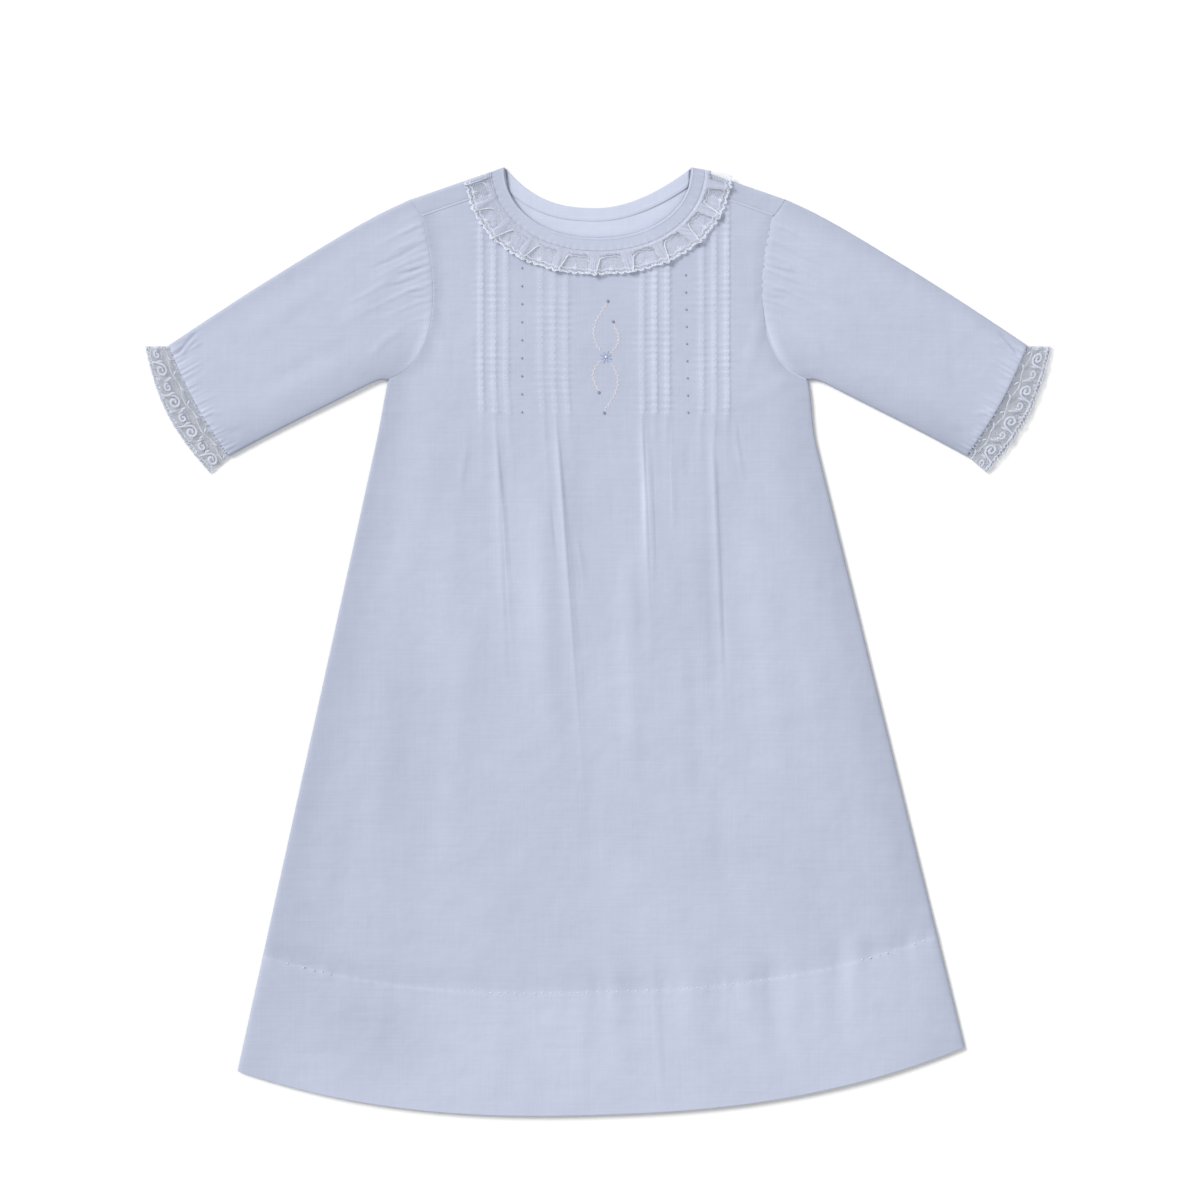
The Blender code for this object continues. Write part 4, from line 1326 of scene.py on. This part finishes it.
def scroll_repeat(strip, start, r):
    """One repeat of the cuffs' pattern: a scroll whose tail runs along the edge, a small one, and leaves."""
    d = strip.depth
    shift = np.array([start, 0.0])
    eye = np.array([0.33 * r, 0.59 * d])
    coil = spiral(eye, 0.9, 3.75, 1.35, 200.0, 26)
    tail = [coil[-1], eye + (4.7, 1.6), (0.60 * r, 0.86 * d), (0.75 * r, 0.90 * d), (0.97 * r, 0.84 * d)]
    scroll = np.concatenate([coil[:-1], Line(tail, 3).at(np.linspace(0.0, 1.0, 16))])
    fat = np.concatenate([np.full(len(coil) - 1, 0.95), np.linspace(0.95, 0.40, 16)])
    strip.cord(shift + scroll, fat, SCROLL, height=0.32)
    strip.cord(shift + spiral((0.79 * r, 0.57 * d), 0.6, 2.6, -1.15, 20.0, 20), 0.74, SCROLL, height=0.34)
    share = np.linspace(0.0, 1.0, 22)
    stem = np.stack([share * r, (0.23 + 0.05 * np.sin(2.0 * np.pi * share)) * d], axis=1)
    strip.cord(shift + stem, 0.40, SCROLL, height=0.4)
    for root_x, root_y, tip_x, tip_y, width in SCROLL_LEAVES:
        strip.leaf((start + root_x * r, root_y * d), (start + tip_x * r, tip_y * d), width, SCROLL)


def window_top(along, repeat):
    """How far down the neck lace its close work reaches: to the top of a net window, or to the edge."""
    share = (along / repeat - NECK_PLEAT_PHASE) % 1.0
    return np.interp(share, *zip(*WINDOW)) + 0.35 * np.sin(along * 1.3) + 0.25 * np.sin(along * 0.37)


def window_repeat(strip, start, r):
    """One repeat of the neck's pattern: a net window with a sprig, its cord boldest on the wearer's right."""
    first = start + NECK_PLEAT_PHASE * r
    shares = np.linspace(WINDOW[0][0], WINDOW[-1][0], 48)
    along = first + shares * r
    outline = np.stack([along, np.minimum(window_top(along, r), strip.depth - 1.4)], axis=1)
    strip.cord(outline, mix(0.14, 0.34, smooth((shares - 0.55) * 5.0)), height=0.7)
    foot = (first + WINDOW_EYE[0] * r, WINDOW_EYE[1] + 2.0)
    for angle, reach in ((-42.0, 2.2), (0.0, 3.0), (42.0, 2.2)):
        turn = math.radians(angle)
        strip.leaf(foot, (foot[0] + reach * math.sin(turn), foot[1] - reach * math.cos(turn)), 0.30)


def make_stitches(name, slot, starts, ends, width, height, material=None):
    """One piece of short rounded stitches from starts to ends, in white thread or another material."""
    side = left_of(ends - starts)
    rings = []
    for share, fat in STITCH_PROFILE:
        for k in range(STITCH_SIDES):
            angle = 2.0 * math.pi * k / STITCH_SIDES
            point = mix(starts, ends, share)
            point[:, :2] += side * (width * fat * math.cos(angle))
            point[:, 2] += height * fat * math.sin(angle)
            rings.append(point)
    first = np.arange(STITCH_SIDES)
    last = len(rings) - STITCH_SIDES + first[::-1]
    base = (len(rings) * np.arange(len(starts)))[:, None]
    quads = grid_quads(len(STITCH_PROFILE), STITCH_SIDES, ring=True)
    faces = (base[:, None] + quads).reshape(-1, 4).tolist() + (base + first).tolist() + (base + last).tolist()
    material = material or thread_material("white_thread", bpy.context.scene.daygown_sewing.white)
    points = np.stack(rings, axis=1).reshape(-1, 3)
    dress(make_mesh(name, points, faces, [material]), slot)


def sew_on_front(name, starts, ends, width, height, rise, material=None):
    """Straight stitches between points of the plan, on the front's face."""
    starts = np.asarray(starts, float)
    ends = np.asarray(ends, float)
    starts = raised(starts, on_front(*starts.T) + rise)
    ends = raised(ends, on_front(*ends.T) + rise)
    make_stitches(name, "batiste", starts, ends, width, height, material)


class DAYGOWN_OT_back(bpy.types.Operator):
    """Make the back panel, flat on the surface, and its strips over the shoulders"""

    bl_idname = "daygown.back"
    bl_label = "Back"

    def execute(self, context):
        edge = [step - CHEST_HALF for step in SIDE_EDGE_STEPS]
        sides = edge + spread(edge[-1], -NECK_POINT[0], 4.5)
        middle = spread(-NECK_POINT[0], NECK_POINT[0], 2.8)
        places = np.array(sides + middle + [-place for place in reversed(sides[:-1])])
        place, row = np.meshgrid(places, stepped(BACK_ROWS))
        x, y = body_plan(place, row, back_top, 0)
        turned = (row >= 1.0) * hump(CHEST_HALF - np.abs(place), 3.0)
        neck = hump(np.abs(x), NECK_POINT[0] + 6.0) ** 0.5 * smooth((y - 212.0) / 14.0)
        panel = np.dstack([x, y, 0.45 * turned + 0.70 * neck])
        grids = [panel]
        tones = [0.45 + 0.43 * smooth((y - 215.0) / 15.0) * (np.abs(x) < NECK_POINT[0])]
        for fold in (panel[0, : len(sides)], panel[0, -len(sides) :]):
            strip, tone = self.shoulder_strip(fold)
            grids.append(strip)
            tones.append(tone)
        piece = make_cloth("back_cloth", grids, tones)
        dress(piece, "batiste", "back")
        return {"FINISHED"}

    def shoulder_strip(self, fold):
        """The strip that turns over one shoulder, from the lower layer to the shoulder seam on the front."""
        plan = fold[:, :2]
        share = (np.abs(plan[:, :1]) - NECK_POINT[0]) / (ARMHOLE[0][0] - NECK_POINT[0])
        seam = mix(np.array(NECK_CORNER), np.array(ARMHOLE[1]), share)
        seam[:, 0] *= np.sign(plan[:, 0])
        inward = seam - plan
        inward /= np.linalg.norm(inward, axis=1, keepdims=True)
        rows = [fold]
        tones = [0.45]
        # Round the fold the tone is painted shade, deepest on the lower half of the turn.
        for turn in np.radians(np.linspace(-75.0, 90.0, 12)):
            inset = EDGE_RADIUS * (1.0 - math.cos(turn))
            rows.append(raised(plan + inward * inset, EDGE_RADIUS * (1.0 + math.sin(turn))))
            tones.append(0.20 + 0.18 * max(0.0, math.sin(turn)))
        start = rows[-1][:, :2]
        for step in np.linspace(0.0, 1.0, 9)[1:]:
            dip = 0.35 * smooth((step - 0.8) / 0.2)
            ripple = 0.10 * np.sin(plan[:, 0] * 0.9 + 4.0 * step) * math.sin(math.pi * step)
            rows.append(raised(mix(start, seam, step), FRONT_TOP - dip + ripple))
            tones.append(0.36)
        return np.stack(rows)[::-1], np.repeat(tones[::-1], len(fold))


class DAYGOWN_OT_front(bpy.types.Operator):
    """Make the front panel with its pintucks, soft folds and hem"""

    bl_idname = "daygown.front"
    bl_label = "Front"

    def execute(self, context):
        marks = [side * (CHEST_HALF - inset) for _, side in SIDES for inset in (*SIDE_EDGE_STEPS, SIDE_ROLL)]
        marks += [tuck + step for tuck in tuck_places() for step in TUCK_STEPS]
        marks.sort()
        places = marks[:1]
        for before, after in zip(marks, marks[1:]):
            places += spread(before, after, 1.15 if abs(before + after) > 2.0 * STRAIGHT_GRAIN_HALF else 2.0)
        place, row = np.meshgrid(places, stepped(FRONT_ROWS))
        x, y = body_plan(place, row, front_top, 1)
        height, tone = front_height(place, x, y, row)
        piece = make_cloth("front_cloth", [np.dstack([x, y, height])], [tone])
        dress(piece, "batiste", "front")
        return {"FINISHED"}


class DAYGOWN_OT_sleeves(bpy.types.Operator):
    """Make the two sleeves, gathered at the head and at the cuff"""

    bl_idname = "daygown.sleeves"
    bl_label = "Sleeves"

    def execute(self, context):
        turn, down = np.meshgrid(np.arange(SLEEVE_COLUMNS) / SLEEVE_COLUMNS, stepped(SLEEVE_RINGS))
        across, level = ring_section(turn, SLEEVE.width(down), EDGE_RADIUS)
        plan = SLEEVE.at(across, down)
        height, tone = sleeve_height(across, level, down, plan)
        for name, side in SIDES:
            points = np.dstack([mirrored(plan, side), height])
            piece = make_cloth("sleeve_cloth_" + name, [points], [tone], ring=True, flip=side < 0.0)
            dress(piece, "batiste", "sleeve_" + name)
        return {"FINISHED"}


class DAYGOWN_OT_neck(bpy.types.Operator):
    """Make the band round the front of the neck and the facing inside the back of the neck"""

    bl_idname = "daygown.neck"
    bl_label = "Neck band and facing"

    def execute(self, context):
        turn, out = np.meshgrid(np.linspace(0.0, 1.0, 261), np.linspace(0.0, 1.0, 18))
        roll = hump(out - 0.10, 0.13)
        gather = np.sin(turn * 260.0 + 2.0 * np.sin(turn * 31.0)) * smooth((out - 0.45) / 0.5)
        turned = 1.0 - np.sqrt(1.0 - (1.0 - np.clip(out / 0.13, 0.0, 1.0)) ** 2)
        height = NECK_UNDER + 0.35 + 0.35 * roll + 0.10 * gather - 1.9 * turned
        # Painted highlights on the rolled neckline edge and on the crests of the gathers; the tone also falls
        # towards the band's two ends.
        tone = 0.55 + 0.13 * roll + 0.05 * gather - 0.12 * smooth(np.abs(turn - 0.5) * 3.2 - 0.45)
        points = np.dstack([frill_point(turn, out), height])
        piece = make_cloth("neck_band_cloth", [points], [tone], flip=True)
        dress(piece, "batiste", "neck_band")

        depths = [*np.linspace(0.0, 0.95, 13), 0.98, 1.0]
        across, down = np.meshgrid(np.linspace(-FACING_END, FACING_END, 90), depths)
        slope = back_neck(across + 0.5) - back_neck(across - 0.5)
        low = back_neck(across) - FACING_WIDTH * np.hypot(1.0, slope)
        low = np.maximum(low, neck_curve(NECKLINE, across) + SEAM)
        height = 1.08 + 0.10 * hump(down - 0.80, 0.15) - 0.18 * smooth((down - 0.85) / 0.15)
        # The paler band by the lower edge is painted light that softens the shadow line under that edge.
        tone = 0.86 - 0.04 * down + 0.10 * hump(down - 0.9, 0.1)
        points = np.dstack([across, mix(back_neck(across), low, down), height])
        piece = make_cloth("back_facing_cloth", [points], [tone], thickness=FACING_THICKNESS * MM)
        dress(piece, "batiste", "back_facing")
        return {"FINISHED"}


class DAYGOWN_OT_neck_lace(bpy.types.Operator):
    """Make the gathered lace frill at the neck"""

    bl_idname = "daygown.neck_lace"
    bl_label = "Neck lace"

    def execute(self, context):
        strip = LaceStrip(*NECK_STRIP)

        def worked(along):
            return window_top(along, strip.length / NECK_WAVES) - 0.3

        strip.ground(NECK_WAVES, window_repeat, net_radius=0.09, net_inset=0.4, net_start=worked)
        strip.picots()
        strip.close_work(start=0.5, stop=worked, step=0.44, radius=0.225, seed=43)
        piece = strip.gathered("neck_frill_lace", self.surface)
        dress(piece, "lace", "neck_frill")
        return {"FINISHED"}

    def surface(self, turn, share):
        """Points of the frill, for a share round the neck and a share from its seam to its edge."""
        wave = wave_ridges(turn, NECK_WAVES, NECK_PLEAT_PHASE, 0.22 * (share - 0.5), 0.04, 41)
        plan = frill_point(np.clip(turn, 0.0, 1.0), 1.0 + share)
        bloom = NECK_SCALLOP * wave * share
        plan[..., 0] *= 1.0 + bloom / FRILL_EDGE[0]
        plan[..., 1] -= bloom
        height = FRILL_RISE * smooth(share) + NECK_WAVE_HEIGHT * wave * mix(NECK_WAVE_AT_SEAM, 1.0, share)
        return raised(plan, NECK_UNDER + 0.5 + height)


class DAYGOWN_OT_cuff_lace(bpy.types.Operator):
    """Make the gathered lace frills at the cuffs"""

    bl_idname = "daygown.cuff_lace"
    bl_label = "Cuff lace"

    def execute(self, context):
        strip = LaceStrip(*CUFF_STRIP)
        strip.ground(CUFF_REPEATS, scroll_repeat, 0.12, net_inset=EYELET_DEPTH, net_start=np.zeros_like)
        strip.eyelets()
        for name, side in SIDES:
            piece = strip.gathered("cuff_frill_lace_" + name, self.surface(side))
            dress(piece, "lace", "cuff_frill_" + name)
        return {"FINISHED"}

    def surface(self, side):
        """The frill of one side: points for a share round the sleeve and a share from seam to edge."""

        def points(turn, share):
            across, level = ring_section(side * turn, mix(*CUFF_WIDTHS, share), CUFF_EDGE_RADIUS)
            wave = wave_ridges(across, CUFF_WAVES, 0.5, 0.2 * (share - 0.5), 0.2, 51)
            wave = wave * mix(CUFF_WAVE_AT_SEAM, 1.0, share)
            lift = (CUFF_LIFT + CUFF_WAVE_HEIGHT * wave) * smooth(np.sin(np.pi * across) * 2.0)
            return raised(mirrored(cuff_point(across, share), side), 0.5 + level * (1.5 + lift))

        return points


class DAYGOWN_OT_seams(bpy.types.Operator):
    """Sew the seams, the tucks, the hem and the lace with white thread"""

    bl_idname = "daygown.seams"
    bl_label = "Seams and stitches"

    def execute(self, context):
        for name, side in SIDES:
            seam = Line([NECK_CORNER, ARMHOLE[1]]).at(np.linspace(0.0, 1.0, 40))
            self.cord("shoulder_seam_" + name, mirrored(seam, side), FRONT_TOP - 0.05, 0.75, 0.5)
            seam = Line([(half + SEAM / 2, y) for half, y in ARMHOLE], 2).at(np.linspace(0.006, 0.994, 100))
            self.cord("armhole_seam_" + name, mirrored(seam, side), FRONT_TOP - 0.28, 1.35, 0.30)
        self.tuck_stitches(context.scene.daygown_sewing.tuck_stitch / MM)
        self.hem_stitches(context.scene.daygown_sewing.hem_stitch / MM)
        for name, side in SIDES:
            self.cuff_stitches(name, side)
            self.armhole_stitches(name, side)
        self.neck_stitches()
        return {"FINISHED"}

    def cord(self, name, path, height, radius, flatness):
        """A soft roll of cloth along a seam."""
        threads = Threads()
        threads.cord(raised(path, height), radius, sides=8, height=flatness)
        points = np.concatenate(threads.points)
        tone = np.full(len(points), SEAM_TONE)
        dress(make_mesh(name, points, threads.faces, [cloth_material()], tone=tone), "batiste")

    def tuck_stitches(self, pitch):
        """Small running stitches along both sides of every pintuck."""
        middles = []
        for number, tuck in enumerate(tuck_places()):
            first = math.ceil((RELEASE_Y + number * STITCH_SHIFT) / pitch)
            for step in range(first, first + TUCK_STITCHES):
                y = step * pitch - number * STITCH_SHIFT
                if y <= TUCK_TOP and frill_share(tuck, y) >= 0.9:
                    middles.append((tuck, y))
        middles = np.array(middles)
        half = np.array([1.15, 0.35])
        sew_on_front("tuck_stitches", middles - half, middles + half, width=0.19, height=0.16, rise=0.06)

    def hem_stitches(self, pitch):
        """Prick stitches that hold the turned-up hem."""
        first, last = HEM_STITCH_SPAN
        count = int((last - first) / pitch)
        lows = np.linspace(first, last, count) + uneven(count, 61, -0.8, 0.8)
        place = np.interp(lows, *zip(*[row[::-1] for row in GRAIN]))
        row = 1.0 + HEM_START + uneven(count, 62, 0.0006, 0.0018)
        x, y = body_plan(place, row, front_top, 1)
        half = uneven(count, 63, 0.45, 0.80)
        starts = np.stack([x - half, y], axis=1)
        ends = np.stack([x + half, y + uneven(count, 64, -0.2, 0.4)], axis=1)
        sew_on_front("hem_stitches", starts, ends, width=0.40, height=0.24, rise=0.10)

    def cuff_stitches(self, name, side):
        """Whip stitches that hold the lace to a sleeve."""
        count = CUFF_STITCHES
        share = np.linspace(0.05, 0.95, count) + uneven(count, 81, -0.006, 0.006)
        reach = uneven(count, 82, 0.965, 0.988)
        inner = SLEEVE.at(share, reach)
        rise = sleeve_height(share, np.ones(count), reach, inner)[0]
        outer = cuff_point(share + 0.006, np.full(count, 0.08))
        starts = raised(mirrored(inner, side), rise + 0.08)
        ends = raised(mirrored(outer, side), FRONT_TOP - 0.05)
        make_stitches("cuff_stitches_" + name, "lace", starts, ends, width=0.36, height=0.30)

    def armhole_stitches(self, name, side):
        """Small stitches that catch the gathers of a sleeve's head to the armhole."""
        count = ARMHOLE_STITCHES
        share = 0.12 + 0.50 * (np.arange(count) + uneven(count, 83)) / count
        reach = uneven(count, 84, 0.5, 1.9)[:, None]
        seam = SLEEVE.armhole
        away = left_of(seam.at(share + 0.01) - seam.at(share - 0.01))
        inner = seam.at(share) + away * reach
        outer = seam.at(share) - away * 0.9 - np.array([0.0, 0.3])
        starts = raised(mirrored(inner, side), FRONT_TOP + 0.02)
        ends = raised(mirrored(outer, side), FRONT_TOP - 0.05)
        make_stitches("armhole_stitches_" + name, "batiste", starts, ends, width=0.24, height=0.20)

    def neck_stitches(self):
        """Whip stitches that hold the lace to the neck band."""
        turn = np.linspace(0.01, 0.99, NECK_STITCHES)
        starts = raised(frill_point(turn, np.full_like(turn, 0.94)), NECK_UNDER + 0.42)
        ends = raised(frill_point(turn + 0.002, np.full_like(turn, 1.06)), NECK_UNDER + 0.62)
        make_stitches("neck_stitches", "lace", starts, ends, width=0.17, height=0.16)


class DAYGOWN_OT_embroidery(bpy.types.Operator):
    """Work the seed knots between the tucks and the small flower spray in the middle of the chest"""

    bl_idname = "daygown.embroidery"
    bl_label = "Embroidery"

    def execute(self, context):
        sewing = context.scene.daygown_sewing
        blue = thread_material("blue_floss", sewing.blue)
        lavender = thread_material("lavender_floss", sewing.lavender)
        ecru = thread_material("ecru_floss", sewing.ecru)
        centres = []
        for x, lean, top, bottom in KNOT_COLUMNS:
            for share in np.linspace(0.0, 1.0, KNOTS_IN_COLUMN):
                centres.append((x + lean * share, mix(top, bottom, share)))
        self.knots("seed_knots", centres, 0.67, lavender)
        self.petals(blue)
        buds = self.stems(ecru)
        self.knots("bud_knots", buds, 0.95, lavender)
        self.knots("flower_eye", [FLOWER], 0.85, ecru)
        return {"FINISHED"}

    def knots(self, name, centres, size, material):
        """French knots: a small wrapped coil of floss round each centre."""
        threads = Threads()
        share = np.linspace(0.0, 1.0, 18)
        turn = 4.2 * np.pi * share
        reach = mix(0.62, 0.20, share) * size
        for (x, y), base in zip(centres, on_front(*zip(*centres))):
            rise = base + mix(0.22, 0.72, share) * size
            coil = np.stack([x + reach * np.cos(turn), y + reach * 1.25 * np.sin(turn), rise], axis=1)
            threads.cord(coil, 0.34 * size, sides=6, height=1.0)
        dress(make_mesh(name, np.concatenate(threads.points), threads.faces, [material]), "batiste")

    def petals(self, material):
        """A star flower with long and short rays in turn."""
        turn = np.radians((np.arange(FLOWER_RAYS) + 0.5) * 360.0 / FLOWER_RAYS)
        ray = np.stack([np.cos(turn), np.sin(turn)], axis=1)
        reach = np.resize(RAY_LENGTHS, FLOWER_RAYS)[:, None]
        starts = FLOWER + ray * 0.5
        ends = FLOWER + ray * reach
        sew_on_front("flower_petals", starts, ends, width=0.42, height=0.30, rise=0.10, material=material)

    def stems(self, material):
        """Sews a long and a short stem above the flower, and the same turned half round below it.

        Returns their tips.
        """
        starts = []
        ends = []
        tips = []
        for half_turn in (1.0, -1.0):
            for bow, run, lean in STEMS:
                share = np.linspace(0.14, 0.97, int(run / STEM_STITCH))
                stem = np.stack([lean * share + bow * np.sin(np.pi * share**0.9), run * share], axis=1)
                stem = FLOWER + half_turn * stem
                ahead = np.gradient(stem, axis=0)
                ahead /= np.linalg.norm(ahead, axis=1, keepdims=True)
                out = left_of(ahead) * np.resize([-1.0, 1.0], len(stem))[:, None]
                starts += [stem - ahead * 0.75, stem]
                ends += [stem + ahead * 0.75, stem + ahead * 0.9 + out]
                tips.append(FLOWER + half_turn * np.array([lean, run + 0.9]))
        starts = np.concatenate(starts)
        ends = np.concatenate(ends)
        sew_on_front("stem_stitches", starts, ends, width=0.20, height=0.16, rise=0.10, material=material)
        return tips


class DAYGOWN_OT_stage(bpy.types.Operator):
    """Set the plain pale floor, the soft lights and the camera of the photograph"""

    bl_idname = "daygown.stage"
    bl_label = "Stage"

    def execute(self, context):
        scene = context.scene
        scene.view_settings.view_transform = "Standard"
        self.floor()
        world = scene.world or bpy.data.worlds.new("studio")
        scene.world = world
        world.use_nodes = True
        back = world.node_tree.nodes["Background"]
        back.inputs["Color"].default_value = (1.0, 1.0, 1.0, 1.0)
        back.inputs["Strength"].default_value = WORLD_STRENGTH
        for row in SUNS:
            self.sun(*row)
        camera = bpy.data.cameras.new("photo_camera")
        camera.lens = camera.sensor_width * CAMERA_HEIGHT / (PHOTO_PIXELS * PIXEL * MM)
        camera.clip_end = 20.0
        holder = placed("photo_camera", camera)
        holder.location = (PHOTO_CENTRE[0] * MM, PHOTO_CENTRE[1] * MM, CAMERA_HEIGHT)
        scene.camera = holder
        return {"FINISHED"}

    def floor(self):
        """A pale floor, just under the gown."""
        bench = Bench("floor")
        grain = bench.noise(bench.place(), 60.0)
        material = bench.finish(
            Base_Color=bench.blend(grain, (0.93, 0.93, 0.93), (0.95, 0.95, 0.95)),
            Roughness=0.9,
            Specular_IOR_Level=0.1,
        )
        corners = [(x * FLOOR_HALF, y * FLOOR_HALF, FLOOR_Z) for x, y in ((-1, -1), (1, -1), (1, 1), (-1, 1))]
        make_mesh("floor", corners, [(0, 1, 2, 3)], [material])

    def sun(self, name, place, width, power):
        """A distant soft light that shines from a place towards the gown, as wide as an angle in degrees."""
        light = bpy.data.lights.new(name, "SUN")
        light.angle = math.radians(width)
        light.energy = power
        holder = placed(name, light)
        holder.location = place
        x, y, z = place
        holder.rotation_euler = (math.atan2(math.hypot(x, y), z), 0.0, math.atan2(x, -y))


class DAYGOWN_PT_panel(bpy.types.Panel):
    """Lists the daygown's pieces and settings"""

    bl_idname = "DAYGOWN_PT_panel"
    bl_label = "Daygown"
    bl_space_type = "VIEW_3D"
    bl_region_type = "UI"
    bl_category = "Daygown"

    def draw(self, context):
        for settings in (context.scene.daygown_cloth, context.scene.daygown_sewing):
            box = self.layout.box()
            for name in settings.__annotations__:
                box.prop(settings, name)
        for operator in OPERATORS:
            self.layout.operator(operator.bl_idname)


OPERATORS = (
    DAYGOWN_OT_back,
    DAYGOWN_OT_front,
    DAYGOWN_OT_sleeves,
    DAYGOWN_OT_neck,
    DAYGOWN_OT_neck_lace,
    DAYGOWN_OT_cuff_lace,
    DAYGOWN_OT_seams,
    DAYGOWN_OT_embroidery,
    DAYGOWN_OT_stage,
)
CLASSES = (ClothSettings, SewingSettings, *OPERATORS, DAYGOWN_PT_panel)


def register():
    """Adds the classes and the two groups of settings."""
    for kind in CLASSES:
        bpy.utils.register_class(kind)
    bpy.types.Scene.daygown_cloth = bpy.props.PointerProperty(type=ClothSettings)
    bpy.types.Scene.daygown_sewing = bpy.props.PointerProperty(type=SewingSettings)


def unregister():
    """Takes away what register added."""
    del bpy.types.Scene.daygown_sewing
    del bpy.types.Scene.daygown_cloth
    for kind in reversed(CLASSES):
        bpy.utils.unregister_class(kind)


def main():
    """Makes every piece in order."""
    register()
    bpy.ops.daygown.back()
    bpy.ops.daygown.front()
    bpy.ops.daygown.sleeves()
    bpy.ops.daygown.neck()
    bpy.ops.daygown.neck_lace()
    bpy.ops.daygown.cuff_lace()
    bpy.ops.daygown.seams()
    bpy.ops.daygown.embroidery()
    bpy.ops.daygown.stage()
    bpy.context.view_layer.update()


if __name__ == "__main__":
    main()
